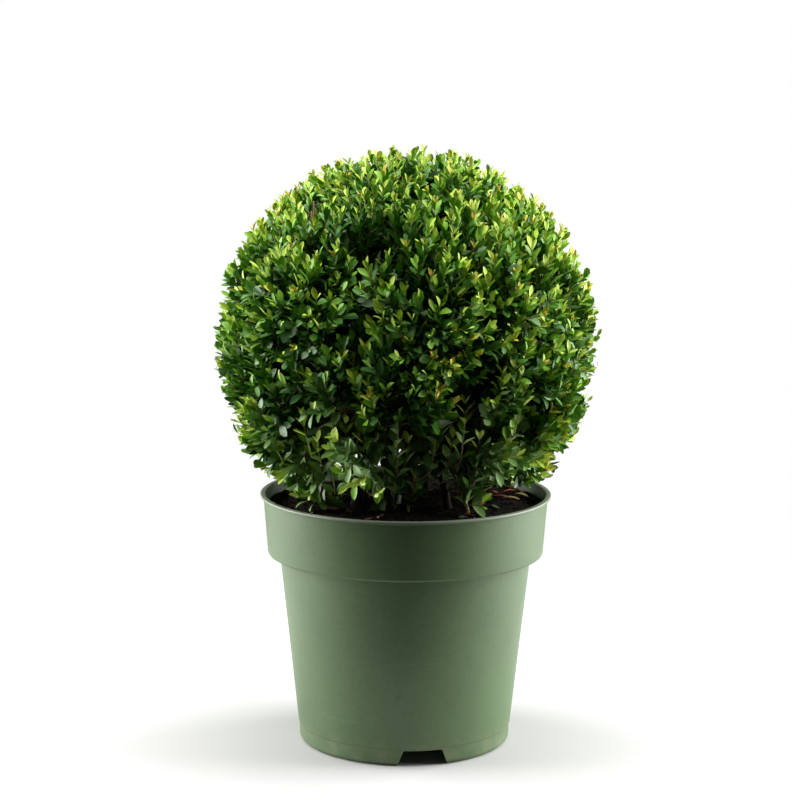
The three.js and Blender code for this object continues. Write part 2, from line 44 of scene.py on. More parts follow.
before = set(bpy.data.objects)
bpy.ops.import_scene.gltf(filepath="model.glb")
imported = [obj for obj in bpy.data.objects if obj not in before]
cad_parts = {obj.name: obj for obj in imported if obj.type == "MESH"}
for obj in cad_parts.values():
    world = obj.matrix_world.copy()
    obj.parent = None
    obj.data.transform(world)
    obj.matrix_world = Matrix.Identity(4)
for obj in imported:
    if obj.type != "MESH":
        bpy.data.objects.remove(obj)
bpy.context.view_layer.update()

UP = Vector((0, 0, 1))

# Pot, as the part has it
POT_HEIGHT = 0.225
RIM_RADIUS = 0.130
WALL = 0.002
LIP_HEIGHT = 0.0025
LIP_OVERHANG = 0.003
COLLAR_FOOT_HEIGHT = 0.1712
COLLAR_FOOT_RADIUS = 0.123
COLLAR_ROUNDING = 0.0025
BODY_TOP_RADIUS = 0.1125
BODY_FOOT_RADIUS = 0.0956
BAND_HEIGHT = 0.0156
BAND_RADIUS = 0.095
BAND_STEP = 0.0008
HEEL_HEIGHT = 0.0032
REST_RADIUS = 0.0912
REST_WIDTH = 0.0024
FLOOR_HEIGHT = 0.016
PAD_RADIUS = 0.040
PAD_RAMP = 0.008
NOTCHES = 3
NOTCH_AZIMUTH = -79.8
NOTCH_HEIGHT = 0.0141
NOTCH_TOP_WIDTH = 0.0345
NOTCH_FOOT_WIDTH = 0.0464
DRAIN_HOLES = 6
DRAIN_RADIUS = 0.006
DRAIN_RING_RADIUS = 0.070

# Soil, as the part has it
SOIL_LEVEL = 0.2165
SOIL_EDGE_LEVEL = 0.2145
SOIL_LEVEL_RADIUS = 0.090
GAP = 0.00035

# The clipped ball and the shells that its limbs and foliage keep to, as the part has them
BALL_CENTRE = Vector((0, 0, 0.366))
BALL_RADIUS = 0.168
FLANK_BULGE = 0.006
FLANK_BULGE_POLAR = 128
FLANK_BULGE_SPREAD = 14
BOUGH_TIP_RADIUS = 0.084
CORE_INNER_RADIUS = 0.098
CORE_OUTER_RADIUS = 0.130
ELBOW_RADIUS = 0.118
SIDE_SHARES = 6
FIRST_SHARE_AZIMUTH = 15
UPPER_POLAR = 64
LOWER_POLAR = 109
BRANCHES_ROUND_THE_BALL = 134
SKIRT_BRANCHES = 12
SKIRT_POLAR = 135
DIVERGENCE = 137.5

# Limbs, as the part has them
MIDDLE_STEM_FOOT = (0.004, 0.010)
MIDDLE_STEM_THICKNESS = 0.0095
MIDDLE_STEM_TIP = 0.005
# Side stems, as (foot, fork height, fork reach, thickness)
SIDE_STEMS = (
    ((0.060, 0.024), 0.278, 0.050, 0.007),
    ((0.018, 0.050), 0.284, 0.046, 0.0064),
    ((-0.036, 0.042), 0.288, 0.044, 0.0072),
    ((-0.043, -0.014), 0.290, 0.046, 0.009),
    ((-0.015, -0.017), 0.248, 0.032, 0.006),
    ((0.036, -0.030), 0.276, 0.046, 0.0075),
)
STEM_TAPER = 0.68
STEM_LEAN = 24
ROOT_FLARE = 0.45
ROOT_FLARE_HEIGHT = 0.007
BOUGH_START_SHARE = 0.8
BOUGH_TIP_THICKNESS = 0.0034
LOWER_BOUGH_LEAN = 40
UPPER_BOUGH_LEAN = 8
BEND_PULL = 0.38
# Low sprigs, as (foot, lean, height)
LOW_SPRIGS = (
    ((0.055, -0.058), (-0.008, 0.006), 0.032),
    ((-0.068, -0.040), (-0.010, 0.0), 0.020),
    ((0.002, -0.044), (0.006, -0.008), 0.030),
    ((-0.014, 0.070), (-0.008, 0.008), 0.030),
    ((0.054, 0.058), (0.006, 0.008), 0.028),
)

# From here on the values are only this dressing's, and two in brackets are the ends of a range

# Pot and soil
CORNER_STEPS = 4
SOIL_DIP_RADIUS = 0.120
SOIL_SIDES = 180
SOIL_RINGS = 60
LUMPS_A_METRE = 38
LUMP_HEIGHT = 0.0016
GRAINS_A_METRE = 190
GRAIN_HEIGHT = 0.0011
CRUMB_RADIUS = 0.1225
CRUMB_SIZES = (0.0006, 0.0024)
CRUMB_SIZE_SHARES = (0.6, 1.1)
CRUMB_STRETCH = (0.8, 1.7)
CRUMB_FLATNESS = (0.5, 0.9)
CRUMB_ROUGHNESS = (0.75, 1.2)
LITTER_RADII = (0.060, 0.104)
LITTER_LENGTHS = (0.009, 0.016)
LITTER_LIFT = 0.0012
IN_SIGHT_LIFT = 0.0025

# Bark
RIDGES_A_METRE = 420
RIDGE_STRETCH = 0.25
KNOTS_A_METRE = 95
KNOT_SHARE = 1.6

# Where parts of the ball's surface begin and where they are full, along one axis of a unit direction
TOP = (0.35, 0.85)
FOOT = (0.15, 0.60)
FLANK = (0.40, 0.70)
THIN_FOOT = (-0.10, 0.45)
DROOPING_FOOT = (0.45, 0.85)
# SHADED_FOOT and SHADED_FRONT place painted light: the lightened leaf tints under the ball, kept to its
# front and part of its flanks
SHADED_FOOT = (0.05, 0.45)
SHADED_FRONT = (-0.25, 0.35)
OPEN_FOOT = (0.0, 0.32)
OPEN_FRONT = (0.36, 0.58)
OLD_SKIRT_FOOT = (0.35, 0.60)
OLD_SKIRT_FLANK = (0.30, 0.60)

# Branches and the sprays on them
SHOOT_LEAN = 6
SKIRT_LEAN = 30
BRANCH_RISE = 0.85
BRANCH_DROOP = 0.10
BRANCH_START = (0.25, 0.95)
BRANCH_TIP_SHARE = 0.75
MASS_STEM_OVERLAP = 0.003
MASS_STEM_TAPER = 0.6
START_BELOW = 0.52
SPRAY_JITTER = 0.035
SPRAY_SIZE = 0.95
FOOT_SPRAY_SIZE = 1.12
TOP_SPRAY_SIZE = 0.76
LEADER_START = (0.62, 0.98)
SIDE_SHOOTS = (3, 5)
FEWER_AT_FOOT = 2
SIDE_SHOOT_START = (0.08, 0.50)
SIDE_SHOOT_SPREAD = (0.005, 0.016)
SIDE_SHOOT_BACK = (0.0, 0.024)
SIDE_SHOOT_YOUTH = (-0.35, 0.20)
SIDE_SHOOT_TURN = (-30, 30)
SIDE_SHOOT_OUTSET = 0.45
SIDE_SHOOT_SLANT = 0.18
SIDE_SHOOT_SIZE = 0.95
STUBS_FROM = 0.2
STUB_SHARE = 0.02
STUB_POINTS = (-0.02, -0.01, 0, 0.005)
STUB_RADII = (0.0009, 0.0007)

# How open the ball is, how fine its streaks of shoots are, and how far under its surface the shoots end
OPENNESS = 0.50
HOLLOW_OPENNESS = 0.6
FLANK_COVER = 0.8
FOOT_OPENNESS = 0.92
SPOT_OPENNESS = 0.85
CLIP_DEPTH = 0.004
FOOT_CLIP_DEPTH = 2.5 * CLIP_DEPTH
CLIP_POWER = 1.4
STREAKS_ROUND = 9
STREAKS_UP = 3.6
STREAK_HOLLOWS = (0.16, 0.46)
HOLLOW_DEPTH = 0.024
PIT_SHARE = 0.36
PIT_COVER = 0.7
PIT_DEPTH = (0.008, 0.020)
TIP_ROOM = 0.0066
SIDE_TIP_ROOM = TIP_ROOM * 0.6

# Radii of branches and twigs at foot and tip
BRANCH_RADII = (0.0019, 0.0012)
LEADER_RADII = (0.0010, 0.0005)
SIDE_SHOOT_RADII = (0.0007, 0.0004)
INNER_SHOOT_RADII = (0.0011, 0.0006)
SPRIG_RADII = (0.0014, 0.0008)

# Shoots of old leaves inside the crown
INNER_SHOOTS = 13
BOUGH_SHOOTS = 18
STEM_SHOOTS = 7
STEM_SHOOTS_FROM = 0.8
INNER_SHOOT_LENGTHS = (0.022, 0.045)
INNER_LEAF_RADIUS = (0.112, 0.147)
INNER_LEAF_SIZE = 1.4
INNER_YOUTH = -0.5

# Leaves. Their rows of corners are given as (share of the length, share of the width)
LEAF_ROWS = ((0.28, 0.66), (0.60, 1.0), (0.86, 0.62))
INNER_LEAF_ROWS = ((0.34, 0.85), (0.74, 0.85))
LEAF_OVERHANG = 0.0025
LOST_LEAF_SHARE = 0.5
LEAF_SPLAY = (46, 26)
SPLAY_POWER = 1.5
SPLAY_JITTER = 10
TURN_JITTER = 18
LEAF_ROLL = 0.25
LEAF_LENGTHS = (0.82, 1.14)
LEAF_FOLD = (0.15, 0.65)
LEAF_CURL = (-0.16, 0.10)
YOUNG_SIZES = (0.98, 0.90, 0.74)
CROWDING = 0.85
LIGHT_SEEKING = 0.30
LEAF_SHINE = 0.30
FLUSHED_FROM = 0.35
FLUSHED_SHARE = 0.30
FLUSHED_SIZE = 0.58
LEAVES_A_PIECE = 16000

# The share of young shoots over the whole ball, and what its top, its right, streaks and its foot add to
# it. What the top, the right and the foot add is partly young growth and partly painted light that lightens
# them
YOUNG_ALL_OVER = 0.10
YOUNG_AND_PAINTED_LIGHT_TOP = 0.85
YOUNG_AND_PAINTED_LIGHT_RIGHT = 0.95
YOUNG_STREAKS = 1.8
YOUNG_AND_PAINTED_LIGHT_FOOT = 0.70
RIGHT_LIMIT = 0.55
OLD_SKIRT_SHARE = 0.85
# How young shoots are: near 0 they are last year's, and past 0.9 they are bright all over
BRIGHT_SHARE = 0.26
BRIGHT_REACH = 3.4
BRIGHT_YOUTH = (0.85, 1.15)
FRESH_YOUTH = (0.40, 0.75)
OLD_YOUTH = (-0.05, 0.20)
# What the top, the foot and the right add to old shoots is partly their growth and partly painted light
OLD_YOUTH_AND_PAINTED_LIGHT_TOP = 0.50
OLD_YOUTH_AND_PAINTED_LIGHT_FOOT = 0.20
OLD_YOUTH_AND_PAINTED_LIGHT_RIGHT = 0.40

# A leaf's age, the least age for each tint, and the painted light under the ball, where leaves take the
# lighter blue and pale tints and the rest are aged towards lighter tints
AGE_ALONG = 0.9
AGE_POWER = 2.5
AGE_BY_YOUTH = 0.5
AGE_JITTER = 0.06
TINT_AGES = {"lime": 1.0, "fresh": 0.66, "mid": 0.28}
BLUE_AGE = 0.60
BLUE_SHARE = 0.70
PAINTED_LIGHT_AGE = 0.30
PALE_AGE = 1.25

# Dark openings in the ball, as (polar, azimuth, half width) in degrees
HOLLOWS = (
    (132, -80, 13), (134, -112, 9), (115, -74, 6), (107, -72, 5), (104, -107, 5), (91, -67, 4),
    (123, -121, 5), (77, -56, 4), (66, -79, 3.5), (60, -86, 3.5), (52, -110, 5), (50, -94, 4.5),
    (43, -100, 3.5), (100, -94, 3), (86, -92, 3),
)
# Shoots of this season that are bright all over, as (polar, azimuth) in degrees
BRIGHT_SHOOTS = (
    (112, -124), (99, -122), (95, -80), (82, -78), (64, -88), (69, -91), (74, -96), (59, -70),
    (101, -62), (106, -48), (89, -46), (78, -50), (68, -35), (60, -35), (47, -44), (39, -38),
    (100, -101), (120, -93), (112, -99), (70, -70), (56, -104), (36, -90), (40, -70),
)
# Upright shoots in the ball's open foot in front, by their limb: the share along it, their tip, how young
# the leaves are and how long the leafy shoot is. Their youth is set high, partly as painted light, so their
# leaves come out light in the shade
FRONT_SHOOTS = {
    "side_stem_5": (
        (0.55, (-0.037, -0.098, 0.327), 1.10, 0.085),
        (0.80, (0.027, -0.092, 0.310), 0.90, 0.050),
        (0.45, (0.040, -0.078, 0.288), 0.80, 0.040),
        (0.35, (-0.009, -0.078, 0.278), 0.60, 0.040),
        (0.90, (-0.007, -0.112, 0.323), 0.80, 0.050),
    ),
    "side_stem_4": (
        (0.55, (-0.052, -0.072, 0.299), 0.95, 0.030),
        (0.45, (-0.088, -0.095, 0.308), 1.15, 0.036),
        (0.30, (-0.076, -0.085, 0.285), 0.80, 0.030),
        (0.75, (-0.118, -0.060, 0.288), 0.60, 0.028),
        (0.70, (-0.132, -0.040, 0.292), 0.80, 0.026),
        (0.25, (-0.064, -0.080, 0.267), 0.30, 0.030),
        (0.80, (-0.064, -0.105, 0.327), 0.80, 0.050),
    ),
    "side_stem_6": (
        (0.60, (0.116, -0.036, 0.280), 0.60, 0.020),
        (0.75, (0.130, -0.055, 0.304), 0.95, 0.030),
        (0.45, (0.092, -0.090, 0.306), 1.10, 0.034),
        (0.60, (0.101, -0.110, 0.336), 1.10, 0.044),
        (0.35, (0.063, -0.080, 0.287), 0.90, 0.040),
        (0.25, (0.081, -0.070, 0.275), 0.70, 0.032),
        (0.70, (0.050, -0.110, 0.323), 0.95, 0.050),
    ),
}
# Shoots behind them, on each of the front limbs
FRONT_LIMBS = [f"{kind}_{number}" for kind in ("side_stem", "lower_bough") for number in (4, 5, 6)]
BACK_SHOOTS_A_LIMB = 4
BACK_SHOOT_START = (0.3, 1.0)
BACK_SHOOT_AZIMUTH = (-160, -20)
BACK_SHOOT_REACH = (0.02, 0.06)
BACK_SHOOT_RISE = (0.03, 0.07)
BACK_SHOOT_DEPTH = 0.035
BACK_SHOOT_YOUTH = (-0.05, 0.35)
BACK_SHOOT_LENGTH = (0.02, 0.04)
# Shoots of each low sprig: the place of the tip from the sprig's foot, and how young the leaves are
SPRIG_SHOOTS = (
    ((-0.018, -0.004, 0.050, 0.75), (0.004, -0.007, 0.043, 0.75), (0.013, 0.006, 0.030, 0.35),
     (0.011, -0.007, 0.013, 1.0), (-0.008, 0.004, 0.024, 0.1)),
    ((-0.034, 0.004, 0.024, 0.05), (-0.022, -0.009, 0.013, 0.0), (-0.014, 0.002, 0.026, 0.1),
     (0.002, -0.012, 0.010, 0.0), (0.009, 0.004, 0.022, 0.15)),
    ((-0.008, -0.003, 0.022, 0.1), (0.006, -0.004, 0.016, 0.05), (-0.012, 0.004, 0.032, 0.4)),
    ((-0.010, 0.012, 0.040, 0.4), (0.008, 0.010, 0.034, 0.2), (-0.016, -0.004, 0.026, 0.1)),
    ((0.014, 0.008, 0.038, 0.4), (-0.006, 0.012, 0.034, 0.2), (0.012, -0.008, 0.024, 0.1)),
)

# Stage
FLOOR_MIDDLE = (0, 0.225, 0)
FLOOR_SIZE = (2.4, 0.95)
LEFT_BOX_SHARE = 0.99
RIGHT_BOX_SHARE = 1.17


def rgb(red, green, blue):
    """A colour given in screen values, 0 to 255, as the linear values that Blender uses."""
    return tuple((value / 255) ** 2.2 for value in (red, green, blue))


def lerp(start, end, share):
    """The value that lies at a share of the way from start to end."""
    return start + (end - start) * share


def smoothstep(value, low, high):
    """0 below low and 1 above high, and a smooth rise from one to the other."""
    share = min(max((value - low) / (high - low), 0), 1)
    return share * share * (3 - 2 * share)


def direction(polar, azimuth):
    """The direction that lies so many degrees from the top, at an azimuth from +X."""
    tilt = radians(polar)
    turn = radians(azimuth)
    return Vector((sin(tilt) * cos(turn), sin(tilt) * sin(turn), cos(tilt)))


# Kinds of leaves, by tint: the name and meaning of the colour's setting, the colour, how wide a leaf is for
# its length, and its roughness
LEAF_KINDS = {
    # Painted light: lighter and greyer than old leaves, to lift the shade deep in the crown
    "inner": ("Inner leaves", "The oldest leaves, deep in the crown", rgb(68, 94, 48), 0.60, 0.50),
    "deep": ("Old leaves", "Leaves of last year", rgb(53, 92, 38), 0.54, 0.36),
    "mid": ("Grown leaves", "Leaves that are fully grown", rgb(75, 122, 44), 0.52, 0.42),
    "fresh": ("Young leaves", "Leaves of this season", rgb(112, 158, 46), 0.48, 0.50),
    "lime": ("Newest leaves", "Leaves at the tips of shoots", rgb(158, 182, 66), 0.44, 0.55),
    "bronze": ("Flushed leaves", "Tip leaves that are flushed orange", rgb(212, 172, 84), 0.38, 0.55),
    # Painted light and painted sheen: lighter and greyer than old leaves, to lift the shade under the ball
    "blue": ("Shaded leaves", "Leaves in the shade under the ball", rgb(122, 156, 92), 0.56, 0.48),
    # Painted light: lighter than the newest leaves, to lift the shade under the ball
    "pale": ("Shaded tips", "Newest leaves in the shade under the ball", rgb(200, 224, 106), 0.46, 0.50),
}

# Kinds of fallen leaves: colour, width share, and those in plain sight, as (place, length, azimuth)
LITTER = {
    "fallen_leaves_russet": (rgb(150, 84, 44), 0.40, (
        ((0.094, 0.0135), 0.017, 172), ((0.0885, 0.036), 0.014, 20))),
    "fallen_leaves_pink": (rgb(176, 118, 98), 0.48, (
        ((-0.108, 0.033), 0.015, 15), ((-0.087, 0.048), 0.012, 60), ((-0.072, -0.0445), 0.015, -12))),
    "fallen_leaves_straw": (rgb(188, 162, 116), 0.34, (
        ((0.111, 0.022), 0.019, 132), ((0.103, 0.009), 0.018, 150), ((0.108, 0.040), 0.012, 110),
        ((-0.055, 0.004), 0.009, 40))),
    "fallen_leaves_green": (rgb(70, 98, 60), 0.52, ()),
}


# Settings that a user would change


def colour_property(name, description, colour):
    return FloatVectorProperty(
        name=name, description=description, subtype="COLOR", size=3, min=0, max=1, default=colour)


def length_property(name, description, default, least=0):
    return FloatProperty(
        name=name, description=description, subtype="DISTANCE", unit="LENGTH", min=least, default=default)


def angle_property(name, description, default):
    return FloatProperty(
        name=name, description=description, subtype="ANGLE", unit="ROTATION", default=default)


class PotSettings(bpy.types.PropertyGroup):
    colour: colour_property("Colour", "Colour of the moulded plastic", rgb(78, 100, 65))
    roughness: FloatProperty(
        name="Roughness", description="How dull the plastic is", subtype="FACTOR",
        min=0, max=1, default=0.42)
    sides: IntProperty(
        name="Sides", description="How many sides its round walls have", min=32, default=144)


class SoilSettings(bpy.types.PropertyGroup):
    colour: colour_property("Colour", "Colour of the damp peat", rgb(26, 17, 11))
    crumbs: IntProperty(
        name="Crumbs", description="How many loose crumbs lie on it", min=0, default=1900)
    litter: IntProperty(
        name="Litter", description="How many fallen leaves are scattered on it", min=0, default=34)


class LimbSettings(bpy.types.PropertyGroup):
    colour: colour_property("Colour", "Colour of the bark", rgb(46, 32, 22))
    relief: length_property("Relief", "Depth of the bark's ridges", 0.0005)


class CrownSettings(bpy.types.PropertyGroup):
    sprays: IntProperty(
        name="Sprays", description="How many sprays cover the ball", min=50, default=700)
    leaf_length: length_property("Leaf length", "Length of a grown leaf", 0.0155, least=0.004)
    internode: length_property("Internode", "Way along a shoot from leaf to leaf", 0.0033, least=0.001)
    seed: IntProperty(name="Seed", description="Another number grows another crown", default=11)


CrownSettings.__annotations__.update({
    tint: colour_property(name, description, colour)
    for tint, (name, description, colour, *_) in LEAF_KINDS.items()})


class StageSettings(bpy.types.PropertyGroup):
    distance: length_property("Distance", "From the camera to the plant's axis", 2.160)
    height: length_property("Height", "Of the camera over the floor", 0.662)
    pitch: angle_property("Pitch", "How far the camera looks down", 0.1623)
    yaw: angle_property("Yaw", "How far the camera looks past the plant's left", 0.0052)
    roll: angle_property("Roll", "How far the plant's right side hangs down in the picture", 0.0059)
    lens: FloatProperty(name="Lens", description="Focal length in millimetres", default=110.8)
    top_light: FloatProperty(
        name="Top light", description="Watts of the soft box overhead", default=30)
    side_light: FloatProperty(
        name="Side light", description="Watts of the soft boxes at the sides, the right one a little over",
        default=39)
    fill: FloatProperty(
        name="Fill", description="Brightness of the dim room all round", default=0.022)


# Shader values


class Shade:
    """A socket of a material's node tree. Python's operators on it add Math nodes."""

    def __init__(self, tree, socket=None):
        self.tree = tree
        self.socket = socket

    def node(self, kind, settings=None, inputs=None, output=0):
        """Adds a node, sets it up, feeds its sockets with values or links, and gives one output."""
        made = self.tree.nodes.new(kind)
        for name, value in (settings or {}).items():
            setattr(made, name, value)
        feed(made, inputs or {})
        return Shade(self.tree, made.outputs[output])

    def maths(self, operation, *values):
        return self.node("ShaderNodeMath", {"operation": operation}, dict(enumerate(values)))

    def __add__(self, other):
        return self.maths("ADD", self, other)

    def __radd__(self, other):
        return self.maths("ADD", other, self)

    def __sub__(self, other):
        return self.maths("SUBTRACT", self, other)

    def __rsub__(self, other):
        return self.maths("SUBTRACT", other, self)

    def __mul__(self, other):
        return self.maths("MULTIPLY", self, other)

    def __rmul__(self, other):
        return self.maths("MULTIPLY", other, self)

    def between(self, low, high):
        """0 below the low value and 1 above the high one, and a smooth rise from one to the other."""
        inputs = {"Value": self, "From Min": low, "From Max": high}
        return self.node("ShaderNodeMapRange", {"interpolation_type": "SMOOTHSTEP"}, inputs)

    def blend(self, first, second):
        """The first colour where this is 0, and the second where it is 1."""
        inputs = {0: self, 6: as_colour(first), 7: as_colour(second)}
        return self.node("ShaderNodeMix", {"data_type": "RGBA"}, inputs, output=2)

    def scaled(self, factors):
        inputs = {0: self, 1: factors}
        return self.node("ShaderNodeVectorMath", {"operation": "MULTIPLY"}, inputs)

    def height(self):
        return self.node("ShaderNodeSeparateXYZ", None, {0: self}, output=2)

    def grain(self, scale, detail=3, roughness=0.55):
        inputs = {"Vector": self, "Scale": scale, "Detail": detail, "Roughness": roughness}
        return self.node("ShaderNodeTexNoise", None, inputs)

    def cells(self, scale):
        return self.node("ShaderNodeTexVoronoi", None, {"Vector": self, "Scale": scale})

    def bumped(self, depth):
        return self.node("ShaderNodeBump", None, {"Height": self, "Distance": depth})


def feed(node, sockets):
    """Sets input sockets of a node to values, or links them to shades."""
    for name, value in sockets.items():
        if isinstance(value, Shade):
            value.tree.links.new(value.socket, node.inputs[name])
        else:
            node.inputs[name].default_value = value


def as_colour(value):
    return value if isinstance(value, Shade) else (*value, 1)


def dimmed(colour, factor):
    return tuple(min(value * factor, 1) for value in colour)


def new_material(name):
    """A material and its Principled shader."""
    material = bpy.data.materials.new(name)
    material.use_nodes = True
    return material, material.node_tree.nodes["Principled BSDF"]


def place_on(material):
    """The Object coordinates of a material's surface, as a Shade."""
    return Shade(material.node_tree).node("ShaderNodeTexCoord", output="Object")


def pot_plastic(settings):
    """Moulded plastic: slightly cloudy, with faint level rub marks, a little dust at its foot, and a pale
    grey band round the rim's top edge that is partly wear and partly a painted highlight.
    """
    material, principled = new_material("pot_plastic")
    colour = tuple(settings.colour)
    place = place_on(material)
    cloud = place.grain(11, detail=4)
    rubs = place.scaled((7, 7, 420)).grain(1.0, detail=2).between(0.60, 0.72)
    rubbed = rubs * place.grain(16, detail=2).between(0.46, 0.66)
    height = place.height()
    dust = (1 - height.between(0.001, 0.030)) * place.grain(60).between(0.35, 0.75)
    mottled = (cloud * 0.6 + place.grain(260, detail=4, roughness=0.7) * 0.4).between(0.25, 0.75)
    plain = mottled.blend(dimmed(colour, 0.84), dimmed(colour, 1.18))
    # The rim's top edge: a pale grey band, partly wear and partly a painted highlight
    rim = height.between(POT_HEIGHT - 0.0022, POT_HEIGHT - 0.0004) * (0.45 + 0.4 * place.grain(34))
    worn_and_highlit = rim.blend((rubbed * 0.22).blend(plain, dimmed(colour, 1.9)), rgb(142, 146, 134))
    feed(principled, {
        "Base Color": (dust * 0.30).blend(worn_and_highlit, rgb(150, 142, 122)),
        "Roughness": settings.roughness + (cloud * 0.08 + rubbed * 0.10 + dust * 0.2),
        "Normal": place.grain(420, detail=3).bumped(0.00005),
    })
    return material


def peat(settings):
    """Damp peat: dark crumbs with paler fibres between them."""
    material, principled = new_material("peat")
    colour = tuple(settings.colour)
    place = place_on(material)
    crumb = place.grain(260, detail=5, roughness=0.7)
    fibres = place.scaled((1, 0.25, 1)).grain(900, detail=2).between(0.58, 0.72)
    dark = crumb.between(0.35, 0.65).blend(dimmed(colour, 0.45), dimmed(colour, 1.35))
    feed(principled, {
        "Base Color": (fibres * 0.5).blend(dark, rgb(62, 42, 26)),
        "Roughness": 0.96 - crumb * 0.12,
        "Specular IOR Level": 0.15,
        "Normal": crumb.bumped(0.0012),
    })
    return material


def bark(name, colour, scale=1.0):
    """Thin smooth bark: streaked along the stem, with corky specks."""
    material, principled = new_material(name)
    place = place_on(material)
    stripes = place.scaled((1, 1, 0.22)).grain(300 * scale, detail=4, roughness=0.65)
    patches = place.grain(45 * scale, detail=3)
    specks = 1 - place.scaled((1, 1, 0.6)).cells(520 * scale).between(0.10, 0.24)
    plain = stripes.between(0.3, 0.7).blend(dimmed(colour, 0.5), dimmed(colour, 1.25))
    aged = (patches.between(0.45, 0.68) * 0.4).blend(plain, rgb(62, 48, 36))
    feed(principled, {
        "Base Color": (specks * 0.4).blend(aged, rgb(88, 68, 48)),
        "Roughness": 0.86 - stripes * 0.15,
        "Specular IOR Level": 0.15,
        "Normal": (stripes + specks * 0.3).bumped(0.0006),
    })
    return material


def plain_material(name, colour, roughness, shine=0.5):
    """One even colour, for the floor, twigs and leaves, whose tints are dealt out by spray."""
    material, principled = new_material(name)
    sockets = {"Base Color": (*colour, 1), "Roughness": roughness, "Specular IOR Level": shine}
    feed(principled, sockets)
    return material


# Modelling


def deselect():
    bpy.ops.object.select_all(action="DESELECT")


def select_only(piece):
    deselect()
    piece.select_set(True)
    bpy.context.view_layer.objects.active = piece


def finish_piece(piece, name, material, nodes=()):
    """Names a piece, gives it its one material, hangs it on the root body, and hides the model's parts that
    it stands in for.
    """
    piece.name = name
    piece.data.name = name
    piece.data.materials.clear()
    piece.data.materials.append(material)
    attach(piece, "root")
    if nodes:
        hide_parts(*nodes)


def mesh_piece(points, faces, edges=()):
    """A new object from points and the faces or edges between them, shaded smooth."""
    mesh = bpy.data.meshes.new("piece")
    mesh.from_pydata(points, edges, faces)
    mesh.shade_smooth()
    piece = bpy.data.objects.new("piece", mesh)
    bpy.context.scene.collection.objects.link(piece)
    return piece


def merge_points():
    """Merges the doubled points of the mesh in edit mode, turns its faces outward and leaves edit mode."""
    bpy.ops.mesh.select_all(action="SELECT")
    bpy.ops.mesh.remove_doubles(threshold=0.00001)
    bpy.ops.mesh.normals_make_consistent(inside=False)
    bpy.ops.object.mode_set(mode="OBJECT")


def softened(outline):
    """An outline of (radius, height, rounding) corners as points, each corner a short curve."""
    corners = [Vector((radius, 0, height)) for radius, height, _ in outline]
    points = []
    for i, corner in enumerate(corners):
        rounding = outline[i][2]
        if rounding == 0:
            points.append(corner)
            continue
        start = corner + (corners[i - 1] - corner).normalized() * rounding
        end = corner + (corners[i + 1] - corner).normalized() * rounding
        for step in range(CORNER_STEPS + 1):
            share = step / CORNER_STEPS
            points.append(start.lerp(corner, share).lerp(corner.lerp(end, share), share))
    return points


def turned(points, sides):
    """A closed shell turned round the Z axis from the points of its section."""
    shell = mesh_piece(points, [], [(i, i + 1) for i in range(len(points) - 1)])
    select_only(shell)
    bpy.ops.object.mode_set(mode="EDIT")
    bpy.ops.mesh.select_all(action="SELECT")
    bpy.ops.mesh.spin(steps=sides, angle=2 * pi, center=(0, 0, 0), axis=(0, 0, 1))
    merge_points()
    return shell


def cut(piece, cutter):
    """Cuts one closed shape out of another and throws the cutter away."""
    select_only(piece)
    boolean = piece.modifiers.new("cut", "BOOLEAN")
    boolean.operation = "DIFFERENCE"
    boolean.object = cutter
    bpy.ops.object.modifier_apply(modifier=boolean.name)
    bpy.data.objects.remove(cutter)


def apply_place():
    bpy.ops.object.transform_apply(location=True, rotation=True, scale=True)


# Pot


def collar_radius(height):
    """The collar's outer radius at a height."""
    lip_foot = POT_HEIGHT - LIP_HEIGHT
    share = (height - COLLAR_FOOT_HEIGHT) / (lip_foot - COLLAR_FOOT_HEIGHT)
    return lerp(COLLAR_FOOT_RADIUS, RIM_RADIUS - LIP_OVERHANG, share)


def pot_section():
    """The pot's section: its underside, its outer wall, its rim, and down inside to the middle."""
    lip_foot = POT_HEIGHT - LIP_HEIGHT
    floor_top = FLOOR_HEIGHT + WALL
    outside = [
        (0, 0, 0),
        (PAD_RADIUS, 0, 0.001),
        (PAD_RADIUS + PAD_RAMP, FLOOR_HEIGHT, 0.002),
        (BAND_RADIUS - REST_WIDTH, FLOOR_HEIGHT, 0.001),
        (REST_RADIUS - REST_WIDTH, 0, 0.0005),
        (REST_RADIUS, 0, 0.0007),
        (lerp(REST_RADIUS, BAND_RADIUS, 0.85), HEEL_HEIGHT, 0.001),
        (BAND_RADIUS, BAND_HEIGHT, 0.0002),
        (BODY_FOOT_RADIUS, BAND_HEIGHT + BAND_STEP, 0.0003),
        (BODY_TOP_RADIUS, COLLAR_FOOT_HEIGHT, 0.0010),
        (COLLAR_FOOT_RADIUS, COLLAR_FOOT_HEIGHT, COLLAR_ROUNDING),
        (collar_radius(lip_foot), lip_foot, 0.0008),
        (RIM_RADIUS - 0.0003, lip_foot + 0.0002, 0.0007),
        (RIM_RADIUS, POT_HEIGHT, 0.0011),
    ]
    inside = [
        (0, WALL, 0),
        (PAD_RADIUS, WALL, 0.001),
        (PAD_RADIUS + PAD_RAMP, floor_top, 0.001),
        (BODY_FOOT_RADIUS - WALL, floor_top, 0.002),
        (BODY_TOP_RADIUS - WALL, COLLAR_FOOT_HEIGHT + WALL, 0.001),
        (COLLAR_FOOT_RADIUS - WALL, COLLAR_FOOT_HEIGHT + WALL, 0.001),
        (collar_radius(POT_HEIGHT) - WALL, POT_HEIGHT, 0.0007),
    ]
    return softened(outside + inside[::-1])


